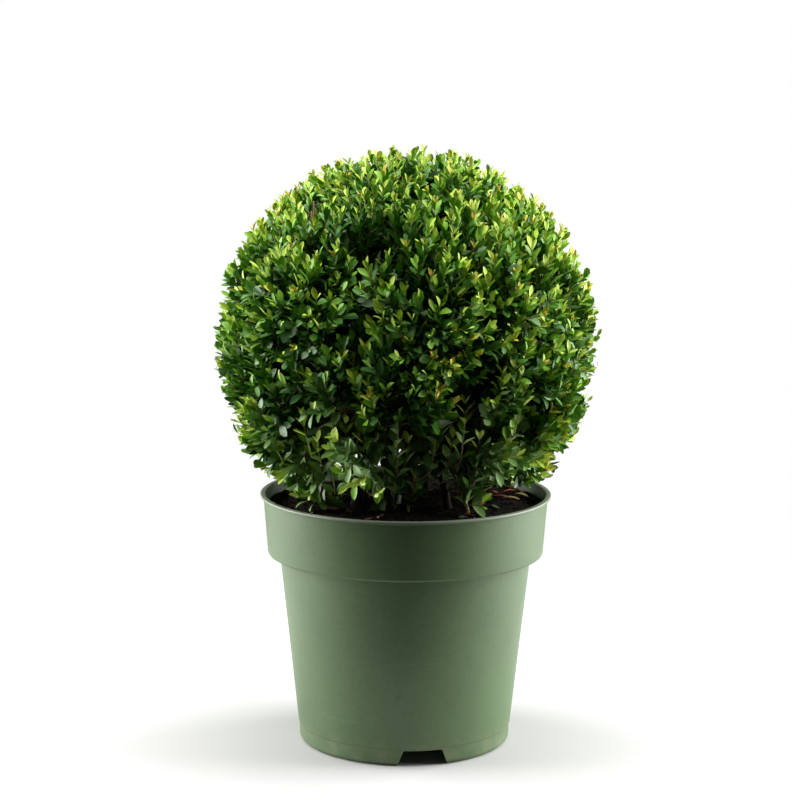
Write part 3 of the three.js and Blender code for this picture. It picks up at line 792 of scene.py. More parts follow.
def notch_cutter(azimuth):
    """A wedge with rounded upper edges that cuts one notch in the pot's foot."""
    deep = 4 * (BAND_RADIUS - REST_RADIUS + REST_WIDTH)
    below = 0.002
    height = NOTCH_HEIGHT + below
    bpy.ops.mesh.primitive_cube_add(size=1, location=(0, 0, NOTCH_HEIGHT - height / 2))
    wedge = bpy.context.object
    wedge.scale = (deep, NOTCH_FOOT_WIDTH, height)
    apply_place()
    bpy.ops.object.mode_set(mode="EDIT")
    bpy.ops.mesh.select_all(action="DESELECT")
    bpy.ops.object.mode_set(mode="OBJECT")
    for vertex in wedge.data.vertices:
        if vertex.co.z > 0:
            vertex.co.y *= NOTCH_TOP_WIDTH / NOTCH_FOOT_WIDTH
    for edge in wedge.data.edges:
        ends = [wedge.data.vertices[i].co for i in edge.vertices]
        edge.select = all(end.z > 0 for end in ends) and abs(ends[0].y - ends[1].y) < GAP
    bpy.ops.object.mode_set(mode="EDIT")
    bpy.ops.mesh.select_mode(type="EDGE")
    bpy.ops.mesh.bevel(offset=0.0014, segments=4)
    bpy.ops.object.mode_set(mode="OBJECT")
    turn = Matrix.Rotation(radians(azimuth), 4, "Z") @ Matrix.Translation((REST_RADIUS, 0, 0))
    wedge.data.transform(turn)
    return wedge


def drain_cutter(azimuth):
    """A cylinder that cuts one drain hole in the pot's floor."""
    place = direction(90, azimuth) * DRAIN_RING_RADIUS
    place.z = FLOOR_HEIGHT + WALL / 2
    bpy.ops.mesh.primitive_cylinder_add(
        vertices=24, radius=DRAIN_RADIUS, depth=4 * WALL, location=place)
    apply_place()
    return bpy.context.object


class HOLLY_OT_pot(bpy.types.Operator):
    """Model the plastic nursery pot"""

    bl_idname = "holly.pot"
    bl_label = "Pot"

    def execute(self, context):
        settings = context.scene.holly_pot
        pot = turned(pot_section(), settings.sides)
        for i in range(NOTCHES):
            deselect()
            cut(pot, notch_cutter(NOTCH_AZIMUTH + 360 * i / NOTCHES))
        for i in range(DRAIN_HOLES):
            deselect()
            cut(pot, drain_cutter(NOTCH_AZIMUTH + 360 * (i + 0.5) / DRAIN_HOLES))
        select_only(pot)
        bpy.ops.object.shade_smooth_by_angle(angle=radians(32))
        finish_piece(pot, "nursery_pot", pot_plastic(settings), ["pot"])
        return {"FINISHED"}


# Soil and what lies on it


def soil_height(x, y):
    """Height of the peat: it dips towards the wall and is lumpy all over."""
    radius = Vector((x, y)).length
    level = lerp(SOIL_LEVEL, SOIL_EDGE_LEVEL, smoothstep(radius, SOIL_LEVEL_RADIUS, SOIL_DIP_RADIUS))
    broad = noise.noise(Vector((x, y, 0)) * LUMPS_A_METRE) * LUMP_HEIGHT
    fine = noise.noise(Vector((x, y, 7)) * GRAINS_A_METRE) * GRAIN_HEIGHT
    return level + broad + fine


def scattered(random, outer, inner=0.0):
    """A place on the soil, as even as chance makes it."""
    radius = (random.uniform(inner ** 2, outer ** 2)) ** 0.5
    azimuth = random.uniform(0, 360)
    place = direction(90, azimuth) * radius
    place.z = soil_height(place.x, place.y)
    return place


def model_soil(material):
    """The root ball of peat: a block that fills the pot, with a lumpy top."""
    floor = FLOOR_HEIGHT + WALL + GAP
    pad = PAD_RADIUS - WALL
    side = [
        (0, WALL + GAP, 0),
        (pad, WALL + GAP, 0),
        (pad + PAD_RAMP, floor, 0),
        (BODY_FOOT_RADIUS - WALL - GAP, floor, 0),
        (BODY_TOP_RADIUS - WALL - GAP, COLLAR_FOOT_HEIGHT + WALL + GAP, 0),
        (COLLAR_FOOT_RADIUS - WALL - GAP, COLLAR_FOOT_HEIGHT + WALL + GAP, 0),
    ]
    edge = collar_radius(SOIL_EDGE_LEVEL) - WALL - GAP
    top = [(edge * (1 - ring / SOIL_RINGS), SOIL_EDGE_LEVEL, 0) for ring in range(SOIL_RINGS + 1)]
    soil = turned(softened(side + top), SOIL_SIDES)
    for vertex in soil.data.vertices:
        if abs(vertex.co.z - SOIL_EDGE_LEVEL) < GAP:
            vertex.co.z = soil_height(vertex.co.x, vertex.co.y)
    soil.data.shade_smooth()
    finish_piece(soil, "peat", material, ["potting_soil"])


def crumb_shape():
    """The corners and faces of a rough little lump."""
    bpy.ops.mesh.primitive_ico_sphere_add(subdivisions=1, radius=1)
    ball = bpy.context.object
    points = numpy.array([vertex.co[:] for vertex in ball.data.vertices])
    faces = numpy.array([face.vertices[:] for face in ball.data.polygons])
    bpy.data.objects.remove(ball)
    return points, faces


def repeated(points_each, faces):
    """Faces for many copies of one small shape, each with its own points."""
    count, size = points_each.shape[:2]
    starts = numpy.arange(count)[:, None, None] * size
    return (faces[None] + starts).reshape(-1, faces.shape[1]).tolist()


def model_crumbs(count, material):
    """Loose crumbs of peat, each a rough lump of its own size and proportions."""
    random = Random(3)
    points, faces = crumb_shape()
    lumps = []
    for _ in range(count):
        place = scattered(random, CRUMB_RADIUS)
        size = random.uniform(*CRUMB_SIZES) * random.uniform(*CRUMB_SIZE_SHARES)
        spin = Matrix.Rotation(random.uniform(0, 2 * pi), 3, direction(random.uniform(0, 180), 30))
        stretch = Matrix.Diagonal((random.uniform(*CRUMB_STRETCH), 1, random.uniform(*CRUMB_FLATNESS)))
        shape = numpy.array(stretch @ spin) * size
        rough = numpy.array([[random.uniform(*CRUMB_ROUGHNESS)] for _ in points])
        lumps.append((points * rough) @ shape.T + numpy.array(place))
    lumps = numpy.array(lumps)
    crumbs = mesh_piece(lumps.reshape(-1, 3).tolist(), repeated(lumps, faces))
    crumbs.data.shade_flat()
    finish_piece(crumbs, "soil_crumbs", material)


class HOLLY_OT_soil(bpy.types.Operator):
    """Model the peat in the pot and the crumbs on it"""

    bl_idname = "holly.soil"
    bl_label = "Soil"

    def execute(self, context):
        settings = context.scene.holly_soil
        material = peat(settings)
        model_soil(material)
        model_crumbs(settings.crumbs, material)
        return {"FINISHED"}


class HOLLY_OT_litter(bpy.types.Operator):
    """Lay fallen leaves and bits of straw on the soil"""

    bl_idname = "holly.litter"
    bl_label = "Litter"

    def execute(self, context):
        random = Random(8)
        names = list(LITTER)
        rows = {name: [] for name in names}
        inner, outer = LITTER_RADII
        for i in range(context.scene.holly_soil.litter):
            place = scattered(random, outer, inner)
            place.z += LITTER_LIFT
            heading = direction(90 + random.uniform(-14, 10), random.uniform(0, 360))
            upper = UP + direction(90, random.uniform(0, 360)) * 0.5
            length = random.uniform(*LITTER_LENGTHS)
            row = leaf_row(place, heading, upper, length, fold=random.uniform(-0.5, 0.7), curl=-0.3)
            rows[names[i % len(names)]].append(row)
        for name, (colour, width, in_sight) in LITTER.items():
            for spot, length, azimuth in in_sight:
                place = Vector((*spot, soil_height(*spot) + IN_SIGHT_LIFT))
                row = leaf_row(place, direction(82, azimuth), UP, length, fold=0.35, curl=-0.15)
                rows[name].append(row)
            material = plain_material(name, colour, roughness=0.75)
            finish_piece(leaf_mesh(rows[name], width), name, material)
        return {"FINISHED"}


# Limbs


def bend(start, start_heading, end, end_heading):
    """The four control points of a curve that leaves its start and reaches its end as told."""
    pull = BEND_PULL * (end - start).length
    return start, start + start_heading * pull, end - end_heading * pull, end


def point_on(curve, share):
    a, b, c, d = curve
    rest = 1 - share
    return a * rest ** 3 + b * (3 * rest ** 2 * share) + c * (3 * rest * share ** 2) + d * share ** 3


def tangent_on(curve, share):
    a, b, c, d = curve
    rest = 1 - share
    slope = (b - a) * rest ** 2 + (c - b) * (2 * rest * share) + (d - c) * share ** 2
    return slope.normalized()


def length_of(curve, steps=8):
    points = [point_on(curve, step / steps) for step in range(steps + 1)]
    return sum((end - start).length for start, end in zip(points, points[1:]))


def share_azimuth(index):
    return FIRST_SHARE_AZIMUTH + 360 * index / SIDE_SHARES


def lower_heading(index):
    return direction(LOWER_POLAR, share_azimuth(index))


def upper_heading(index):
    return direction(UPPER_POLAR, share_azimuth(index + 0.5))


def handover(heading):
    """The point inside the ball where a bough or the middle stem hands over to its foliage."""
    return BALL_CENTRE + heading * BOUGH_TIP_RADIUS


def stem_radius(thickness, tip, length):
    """A stem's radius along it: an even taper, and a flare where it meets the soil."""
    def radius_at(share):
        flare = 1 + ROOT_FLARE * exp(-share * length / ROOT_FLARE_HEIGHT)
        return flare * lerp(thickness, tip, share) / 2
    return radius_at


def bough_radius(thickness):
    """A bough's radius along it: an even taper."""
    return lambda share: lerp(thickness, BOUGH_TIP_THICKNESS, share) / 2


def stem_foot(place):
    return Vector((*place, SOIL_LEVEL))


def limbs():
    """Every stem and bough by the name of its node: its curve and its radius along it."""
    curve = bend(stem_foot(MIDDLE_STEM_FOOT), UP, handover(UP), UP)
    radius = stem_radius(MIDDLE_STEM_THICKNESS, MIDDLE_STEM_TIP, length_of(curve))
    made = {"middle_stem": (curve, radius)}
    for index, (foot, fork_height, fork_reach, thickness) in enumerate(SIDE_STEMS):
        azimuth = share_azimuth(index)
        fork = direction(90, azimuth) * fork_reach
        fork.z = fork_height
        curve = bend(stem_foot(foot), UP, fork, direction(STEM_LEAN, azimuth))
        tip = thickness * STEM_TAPER
        made[f"side_stem_{index + 1}"] = (curve, stem_radius(thickness, tip, length_of(curve)))
        for kind, heading, lean in (
            ("lower", lower_heading(index), LOWER_BOUGH_LEAN),
            ("upper", upper_heading(index), UPPER_BOUGH_LEAN),
        ):
            curve = bend(fork, direction(lean, azimuth), handover(heading), heading)
            made[f"{kind}_bough_{index + 1}"] = (curve, bough_radius(tip * BOUGH_START_SHARE))
    return made


def add_limb(curve, radius_at, relief):
    """A limb modelled as a thick Bezier curve and made a mesh, with ridges and knots in its bark."""
    deselect()
    bpy.ops.curve.primitive_bezier_curve_add()
    limb = bpy.context.object
    foot, tip = limb.data.splines[0].bezier_points
    for point in (foot, tip):
        point.handle_left_type = "FREE"
        point.handle_right_type = "FREE"
    foot.co, foot.handle_right, tip.handle_left, tip.co = curve
    foot.handle_left = 2 * foot.co - foot.handle_right
    tip.handle_right = 2 * tip.co - tip.handle_left
    bpy.ops.object.mode_set(mode="EDIT")
    bpy.ops.curve.select_all(action="SELECT")
    bpy.ops.curve.subdivide(number_cuts=11)
    bpy.ops.object.mode_set(mode="OBJECT")
    points = limb.data.splines[0].bezier_points
    for i, point in enumerate(points):
        point.radius = radius_at(i / (len(points) - 1))
    limb.data.dimensions = "3D"
    limb.data.bevel_depth = 1
    limb.data.bevel_resolution = 5
    limb.data.resolution_u = 6
    limb.data.use_fill_caps = True
    bpy.ops.object.convert(target="MESH")
    bpy.ops.object.mode_set(mode="EDIT")
    merge_points()
    limb = bpy.context.object
    for vertex, normal in zip(limb.data.vertices, [v.normal.copy() for v in limb.data.vertices]):
        x, y, z = vertex.co
        ridges = noise.noise(Vector((x, y, z * RIDGE_STRETCH)) * RIDGES_A_METRE)
        knots = max(noise.noise(vertex.co * KNOTS_A_METRE), 0)
        vertex.co += normal * relief * (ridges + KNOT_SHARE * knots)
    limb.data.shade_smooth()
    return limb


class HOLLY_OT_limbs(bpy.types.Operator):
    """Model the stems and boughs, with the relief of their bark"""

    bl_idname = "holly.limbs"
    bl_label = "Stems and boughs"

    def execute(self, context):
        settings = context.scene.holly_limbs
        material = bark("bark", tuple(settings.colour))
        for node, (curve, radius_at) in limbs().items():
            limb = add_limb(curve, radius_at, settings.relief)
            finish_piece(limb, f"{node}_bark", material, [node])
        return {"FINISHED"}


# Twigs and leaves as joined meshes


def leaf_row(root, heading, upper, length, fold, curl):
    """One leaf as a row of numbers: where it starts, how it lies, how long it is and how it bends."""
    return (*root, *heading, *upper, length, fold, curl)


def leaf_outline(rows):
    """A leaf's corners as (along, aside) shares: base, then left, middle and right of each row, tip."""
    corners = [(0, 0)]
    for along, width in rows:
        corners += [(along, width / 2), (along, 0), (along, -width / 2)]
    return numpy.array([*corners, (1, 0)])


def leaf_faces(row_count):
    """The triangles between a leaf's corners, all facing its upper side."""
    faces = [(0, 2, 1), (0, 3, 2)]
    for row in range(row_count - 1):
        left, middle, right = (3 * row + column for column in (1, 2, 3))
        for near, far in ((left, middle), (middle, right)):
            faces += [(near, far, far + 3), (near, far + 3, near + 3)]
    last = 3 * row_count - 2
    tip = last + 3
    return numpy.array([*faces, (last, last + 1, tip), (last + 1, last + 2, tip)])


def unit(vectors):
    return vectors / numpy.linalg.norm(vectors, axis=-1, keepdims=True)


def leaf_mesh(rows, width_share, outline=LEAF_ROWS):
    """Many leaves as one mesh."""
    rows = numpy.array(rows)
    root, heading, upper = rows[:, 0:3], unit(rows[:, 3:6]), rows[:, 6:9]
    length, fold, curl = (rows[:, i, None] for i in (9, 10, 11))
    across = unit(numpy.cross(upper, heading))
    upper = numpy.cross(heading, across)
    along, aside = leaf_outline(outline).T
    aside = aside * width_share
    lift = fold * abs(aside) + curl * along ** 2
    points = root[:, None] + length[..., None] * (
        along[None, :, None] * heading[:, None]
        + aside[None, :, None] * across[:, None]
        + lift[..., None] * upper[:, None])
    return mesh_piece(points.reshape(-1, 3).tolist(), repeated(points, leaf_faces(len(outline))))


def twig_mesh(twigs, sides, rings):
    """Many tapering twigs as one mesh, each from its curve and its radii at foot and tip."""
    controls = numpy.array([[tuple(point) for point in curve] for curve, _, _ in twigs])
    foot, tip = numpy.array([radii for _, *radii in twigs]).T
    share = numpy.linspace(0, 1, rings + 1)
    rest = 1 - share
    places = numpy.stack([rest ** 3, 3 * rest ** 2 * share, 3 * rest * share ** 2, share ** 3])
    slopes = numpy.stack([rest ** 2, 2 * rest * share, share ** 2])
    centres = numpy.einsum("kr,nkj->nrj", places, controls)
    tangents = unit(numpy.einsum("kr,nkj->nrj", slopes, numpy.diff(controls, axis=1)))
    chord = controls[:, 3] - controls[:, 0]
    lying = abs(chord[:, 2:3]) < abs(chord[:, 0:1])
    aside = numpy.cross(chord, numpy.where(lying, (0.0, 0.0, 1.0), (1.0, 0.0, 0.0)))[:, None]
    across = unit(aside - tangents * (tangents * aside).sum(-1, keepdims=True))
    other = numpy.cross(tangents, across)
    radius = (foot[:, None] * rest + tip[:, None] * share)[..., None, None]
    turn = 2 * pi * numpy.arange(sides) / sides
    points = centres[:, :, None] + radius * (
        numpy.cos(turn)[:, None] * across[:, :, None] + numpy.sin(turn)[:, None] * other[:, :, None])
    points = points.reshape(len(twigs), -1, 3)
    sides_each = [
        (ring * sides + side, ring * sides + (side + 1) % sides,
         (ring + 1) * sides + (side + 1) % sides, (ring + 1) * sides + side)
        for ring in range(rings) for side in range(sides)]
    ends_each = [tuple(range(sides))[::-1], tuple(rings * sides + side for side in range(sides))]
    faces = repeated(points, numpy.array(sides_each)) + repeated(points, numpy.array(ends_each))
    return mesh_piece(points.reshape(-1, 3).tolist(), faces)


# Growth


def in_space(point):
    """How far a point lies inside the clipped ball's surface; below 0 it sticks out."""
    outward = point - BALL_CENTRE
    return reach_along(outward) - outward.length


def reach_along(outward):
    """How far from its centre the ball reaches: it is a little full low on its flanks."""
    polar = degrees(outward.angle(UP, 0))
    bulge = exp(-(((polar - FLANK_BULGE_POLAR) / FLANK_BULGE_SPREAD) ** 2))
    return BALL_RADIUS + FLANK_BULGE * bulge


def spread_directions(count):
    """Directions spread evenly over the ball from its top down."""
    return [
        direction(degrees(acos(1 - 2 * (i + 0.5) / count)), i * DIVERGENCE)
        for i in range(count)]


def branch_heading(outward):
    """A branch turns up on the ball's sides, and droops on its underside."""
    upwards = UP - outward * UP.dot(outward)
    lowness = smoothstep(-outward.z, *DROOPING_FOOT)
    return (outward + upwards * lerp(BRANCH_RISE, -BRANCH_DROOP, lowness)).normalized()


def shoot_heading(outward):
    """A shoot stands nearly upright; below the ball's middle it leans out along the ball's surface."""
    upwards = (UP - outward * outward.z).normalized()
    if outward.z > 0:
        lean = lerp(radians(SHOOT_LEAN), pi / 2, asin(outward.z) / (pi / 2))
    else:
        lean = radians(lerp(SHOOT_LEAN, SKIRT_LEAN, smoothstep(-outward.z, *DROOPING_FOOT)))
    return upwards * cos(lean) + outward * sin(lean)


def streaks(outward, offset):
    """Noise over the ball that is drawn out up and down, as its shoots are."""
    x, y, z = outward
    return noise.noise(Vector((x * STREAKS_ROUND, y * STREAKS_ROUND, z * STREAKS_UP + offset)))


def within(outward, polar, azimuth, reach):
    """Whether a direction lies within so many degrees of a spot on the ball."""
    return outward.dot(direction(polar, azimuth)) > cos(radians(reach))


def openness_at(outward):
    """The chance that no shoot stands here: it is high in the dark openings and the ball's front foot."""
    front = smoothstep(-outward.y, *OPEN_FRONT) * smoothstep(-outward.z, *OPEN_FOOT)
    in_opening = any(within(outward, *spot) for spot in HOLLOWS)
    return max(FOOT_OPENNESS * front, SPOT_OPENNESS if in_opening else 0)


def nearest(headings, outward):
    """The number of the heading that lies nearest to a direction."""
    return max(range(len(headings)), key=lambda i: headings[i].dot(outward))


def perpendicular(axis, turn):
    """The direction square to an axis at a turn round it, in degrees."""
    aside = axis.cross(UP if abs(axis.z) < 0.9 else Vector((1, 0, 0))).normalized()
    return aside * cos(radians(turn)) + axis.cross(aside) * sin(radians(turn))


class Growth:
    """The twigs and leaves grown so far, by their kind and tint."""

    def __init__(self, settings, seed):
        self.settings = settings
        self.random = Random(seed)
        self.branches = []
        self.twigs = []
        self.stubs = []
        self.leaves = {tint: [] for tint in LEAF_KINDS}

    def tint(self, along, youth, low):
        """The tint of a leaf so far along its shoot, from deep old leaves to the newest tips."""
        random = self.random
        age = AGE_ALONG * along ** AGE_POWER + AGE_BY_YOUTH * youth
        age += random.uniform(-AGE_JITTER, AGE_JITTER)
        if youth < INNER_YOUTH:
            return "inner"
        # Painted light: under the ball leaves take the lighter blue and pale tints, and the rest are aged
        # towards lighter tints
        if low and age < BLUE_AGE and random.random() < BLUE_SHARE:
            return "blue"
        if low:
            age += PAINTED_LIGHT_AGE
        if low and age > PALE_AGE:
            return "pale"
        return next((tint for tint, least in TINT_AGES.items() if age > least), "deep")

    def youth(self, outward, lowness):
        """How young a shoot is, from where it stands; what the top, the right and the foot add is partly
        painted light.
        """
        random = self.random
        top = max(outward.z, 0)
        aside = min(max(outward.x, 0), RIGHT_LIMIT)
        old_skirt = smoothstep(abs(outward.x), *OLD_SKIRT_FLANK) * smoothstep(-outward.z, *OLD_SKIRT_FOOT)
        # Partly painted light: the top, the right and the foot are made younger, so their leaves come out
        # lighter
        young = YOUNG_ALL_OVER + YOUNG_AND_PAINTED_LIGHT_TOP * top + YOUNG_AND_PAINTED_LIGHT_RIGHT * aside
        young += YOUNG_STREAKS * streaks(outward, offset=20)
        young += YOUNG_AND_PAINTED_LIGHT_FOOT * lowness
        young *= 1 - OLD_SKIRT_SHARE * old_skirt
        draw = random.random()
        chosen = any(within(outward, *spot, BRIGHT_REACH) for spot in BRIGHT_SHOOTS)
        if chosen or draw < BRIGHT_SHARE * young:
            return random.uniform(*BRIGHT_YOUTH)
        if draw < young:
            return random.uniform(*FRESH_YOUTH)
        old = random.uniform(*OLD_YOUTH) + OLD_YOUTH_AND_PAINTED_LIGHT_TOP * top
        return old + (OLD_YOUTH_AND_PAINTED_LIGHT_FOOT * lowness + OLD_YOUTH_AND_PAINTED_LIGHT_RIGHT * aside) * (1 - old_skirt)

    def shoot(self, start, start_heading, end, end_heading, radii):
        """A nearly straight twig."""
        chord = (end - start).normalized()
        curve = bend(
            start, (start_heading + chord).normalized(), end, (end_heading + chord).normalized())
        self.twigs.append((curve, *radii))
        return curve

    def leaves_along(self, curve, first, size, youth, low=False, ball=True, apart=1.0):
        """Pairs of leaves along a shoot, each pair turned on from the last, the last at its tip."""
        random = self.random
        flushed = youth > FLUSHED_FROM and random.random() < FLUSHED_SHARE
        spacing = 2 * self.settings.internode * size * apart
        young = len(YOUNG_SIZES)
        count = max(round(length_of(curve, 3) * (1 - first) / spacing), young)
        turn = random.uniform(0, 360)
        for i in range(count):
            along = i / (count - 1)
            share = lerp(first, 1, along ** CROWDING)
            grown = 1 if i < count - young else YOUNG_SIZES[i - count]
            self.leaf_pair(curve, share, along, turn + i * DIVERGENCE, size * grown, youth, low, ball)
        if flushed:
            self.leaf_pair(curve, 1, 1, turn + 90, size * FLUSHED_SIZE, youth, False, ball, "bronze")

    def leaf_pair(self, curve, share, along, turn, size, youth, low, ball, tint=None):
        """Two leaves across from each other; on the ball they are clipped at its surface."""
        random = self.random
        tangent = tangent_on(curve, share)
        root = point_on(curve, share)
        outward = (root - BALL_CENTRE).normalized() if ball else UP
        light = tangent.lerp(outward * 0.2 + UP * 0.8, LIGHT_SEEKING)
        for side in (0, 180):
            splay = lerp(*LEAF_SPLAY, along ** SPLAY_POWER)
            splay = radians(splay + random.uniform(-SPLAY_JITTER, SPLAY_JITTER))
            aside = perpendicular(tangent, turn + side + random.uniform(-TURN_JITTER, TURN_JITTER))
            heading = tangent * cos(splay) + aside * sin(splay)
            length = self.settings.leaf_length * size * random.uniform(*LEAF_LENGTHS)
            upper = light + perpendicular(heading.normalized(), random.uniform(0, 360)) * LEAF_ROLL
            if ball:
                over = -in_space(root + heading * length) - LEAF_OVERHANG
                if over > LOST_LEAF_SHARE * length:
                    continue
                length -= max(over, 0)
            fold = random.uniform(*LEAF_FOLD)
            curl = random.uniform(*LEAF_CURL)
            row = leaf_row(root, heading, upper, length, fold, curl)
            self.leaves[tint or self.tint(along, youth, low)].append(row)

    def spray(self, branch, outward):
        """A leading shoot out to the ball's surface, and side shoots that grow up beside it."""
        random = self.random
        heading = shoot_heading(outward)
        # Painted light: low on the ball, mostly at its front, sprays take the lightened tints under the
        # ball
        low = -outward.z > random.uniform(*SHADED_FOOT) and -outward.y > random.uniform(*SHADED_FRONT)
        top = smoothstep(outward.z, *TOP)
        lowness = smoothstep(-outward.z, *FOOT)
        flank = smoothstep(abs(outward.x), *FLANK)
        hollow = smoothstep(streaks(outward, offset=9), *STREAK_HOLLOWS) * (1 - top)
        left_out = (OPENNESS + HOLLOW_OPENNESS * hollow) * smoothstep(-outward.z, *THIN_FOOT)
        if random.random() < left_out * (1 - FLANK_COVER * flank):
            return
        if random.random() < openness_at(outward):
            return
        youth = self.youth(outward, lowness)
        size = lerp(lerp(SPRAY_SIZE, FOOT_SPRAY_SIZE, lowness), TOP_SPRAY_SIZE, top)
        rough = lerp(CLIP_DEPTH, FOOT_CLIP_DEPTH, lowness * (1 - flank)) * random.random() ** CLIP_POWER
        if random.random() < PIT_SHARE * (1 - top + lowness) * (1 - PIT_COVER * flank * lowness):
            rough += random.uniform(*PIT_DEPTH)
        depth = rough + HOLLOW_DEPTH * hollow + TIP_ROOM
        tip = BALL_CENTRE + outward * (reach_along(outward) - depth)
        start = point_on(branch, random.uniform(*LEADER_START))
        leader = self.shoot(start, tangent_on(branch, 1), tip, heading, LEADER_RADII)
        if top > STUBS_FROM and random.random() < STUB_SHARE:
            stub = tuple(tip + heading * along for along in STUB_POINTS)
            self.stubs.append((stub, *STUB_RADII))
        else:
            self.leaves_along(leader, first=0.32, size=size, youth=youth, low=low)
        for i in range(random.randint(*SIDE_SHOOTS) - round(FEWER_AT_FOOT * lowness * (1 - flank))):
            self.side_shoot(leader, heading, i, size, youth + random.uniform(*SIDE_SHOOT_YOUTH), low)

    def side_shoot(self, leader, heading, number, size, youth, low):
        """A shoot that leaves its leader low down and grows up beside it."""
        random = self.random
        share = random.uniform(*SIDE_SHOOT_START)
        aside = perpendicular(heading, number * DIVERGENCE + random.uniform(*SIDE_SHOOT_TURN))
        end = leader[3] + aside * random.uniform(*SIDE_SHOOT_SPREAD)
        end -= heading * random.uniform(*SIDE_SHOOT_BACK)
        over = SIDE_TIP_ROOM - in_space(end)
        if over > 0:
            end -= heading * over
        start_heading = (tangent_on(leader, share) + aside * SIDE_SHOOT_OUTSET).normalized()
        end_heading = heading + aside * SIDE_SHOOT_SLANT
        shoot = self.shoot(point_on(leader, share), start_heading, end, end_heading, SIDE_SHOOT_RADII)
        self.leaves_along(shoot, first=0.22, size=size * SIDE_SHOOT_SIZE, youth=youth, low=low)

    def inner_shoots(self, branch, count, first=0.05):
        """Short shoots of old leaves, deep in the crown."""
        random = self.random
        for i in range(count):
            share = random.uniform(first, 1.0)
            start = point_on(branch, share)
            aside = perpendicular(tangent_on(branch, share), i * DIVERGENCE)
            outward = (start - BALL_CENTRE).normalized()
            heading = (outward * 0.8 + aside + UP * 0.3).normalized()
            end = start + heading * random.uniform(*INNER_SHOOT_LENGTHS)
            reach = random.uniform(*INNER_LEAF_RADIUS)
            if (end - BALL_CENTRE).length > reach:
                end = BALL_CENTRE + (end - BALL_CENTRE).normalized() * reach
            if random.random() < openness_at((end - BALL_CENTRE).normalized()):
                continue
            shoot = bend(start, heading, end, heading)
            self.twigs.append((shoot, *INNER_SHOOT_RADII))
            self.leaves_along(shoot, first=0.15, size=INNER_LEAF_SIZE, youth=2 * INNER_YOUTH)

    def front_shoots(self):
        """Upright shoots straight off the front limbs, in the ball's open foot."""
        uniform = self.random.uniform
        curves = {name: curve for name, (curve, _) in limbs().items()}
        for name, shoots in FRONT_SHOOTS.items():
            for share, tip, youth, length in shoots:
                self.front_shoot(point_on(curves[name], share), Vector(tip), youth, length)
        for name in FRONT_LIMBS:
            for _ in range(BACK_SHOOTS_A_LIMB):
                start = point_on(curves[name], uniform(*BACK_SHOOT_START))
                aside = direction(90, uniform(*BACK_SHOOT_AZIMUTH))
                tip = start + aside * uniform(*BACK_SHOOT_REACH) + UP * uniform(*BACK_SHOOT_RISE)
                if in_space(tip) > BACK_SHOOT_DEPTH:
                    youth = uniform(*BACK_SHOOT_YOUTH)
                    self.front_shoot(start, tip, youth, uniform(*BACK_SHOOT_LENGTH))

    def front_shoot(self, start, tip, youth, length):
        """An upright leafy shoot at the end of a bare twig off its limb."""
        aside = tip - start
        aside.z = 0
        foot = tip - UP * length - aside * 0.15
        aside = aside.normalized()
        outset = (aside + UP * 0.2).normalized()
        self.shoot(start, outset, foot, (aside * 0.5 + UP).normalized(), LEADER_RADII)
        leader = self.shoot(foot, (aside * 0.3 + UP).normalized(), tip, UP, SIDE_SHOOT_RADII)
        # Painted light: these leaves take the lightened tints under the ball
        self.leaves_along(leader, first=0.02, size=0.95, youth=youth, low=True, apart=1.3)

    def crown(self):
        """The crown's masses: stem, branches and sprays in each, out from the tips of the limbs."""
        uniform = self.random.uniform
        headings = [UP]
        for index in range(SIDE_SHARES):
            headings += [upper_heading(index), lower_heading(index)]
        for heading in headings:
            foot = handover(heading) - heading * MASS_STEM_OVERLAP
            end = BALL_CENTRE + heading * ELBOW_RADIUS
            radius = (MIDDLE_STEM_TIP if heading == UP else BOUGH_TIP_THICKNESS) / 2
            stem = bend(foot, heading, end, heading)
            self.branches.append((stem, radius, radius * MASS_STEM_TAPER))
        for name, (curve, _) in limbs().items():
            if "bough" in name:
                self.inner_shoots(curve, BOUGH_SHOOTS)
            else:
                self.inner_shoots(curve, STEM_SHOOTS, first=STEM_SHOOTS_FROM)
        headings.append(-UP)
        skirt = [direction(SKIRT_POLAR, 360 * i / SKIRT_BRANCHES) for i in range(SKIRT_BRANCHES)]
        branches = {}
        for outward in spread_directions(BRANCHES_ROUND_THE_BALL) + skirt:
            share = nearest(headings, outward)
            heading = headings[share]
            if heading == -UP:
                continue
            start_radius = lerp(BOUGH_TIP_RADIUS, ELBOW_RADIUS, uniform(*BRANCH_START))
            start = BALL_CENTRE + heading * start_radius
            elbow = BALL_CENTRE + outward * lerp(CORE_INNER_RADIUS, CORE_OUTER_RADIUS, BRANCH_TIP_SHARE)
            branch = bend(start, (heading + outward).normalized(), elbow, branch_heading(outward))
            self.branches.append((branch, *BRANCH_RADII))
            self.inner_shoots(branch, INNER_SHOOTS)
            branches.setdefault(share, []).append((outward, branch))
        for outward in spread_directions(self.settings.sprays):
            jitter = perpendicular(outward, uniform(0, 360)) * uniform(0, SPRAY_JITTER)
            outward = (outward + jitter).normalized()
            share = nearest(headings, outward)
            if headings[share] == -UP:
                continue
            below = outward - (UP - outward * outward.z) * START_BELOW
            _, branch = max(branches[share], key=lambda pair: pair[0].dot(below))
            self.spray(branch, outward)
        self.front_shoots()

    def sprig(self, foot, lean, height, shoots):
        """A low young stem out of the soil, with its own shoots."""
        ground = stem_foot(foot)
        stem = bend(ground - UP * 0.002, UP, ground + Vector((*lean, height)), UP)
        self.twigs.append((stem, *SPRIG_RADII))
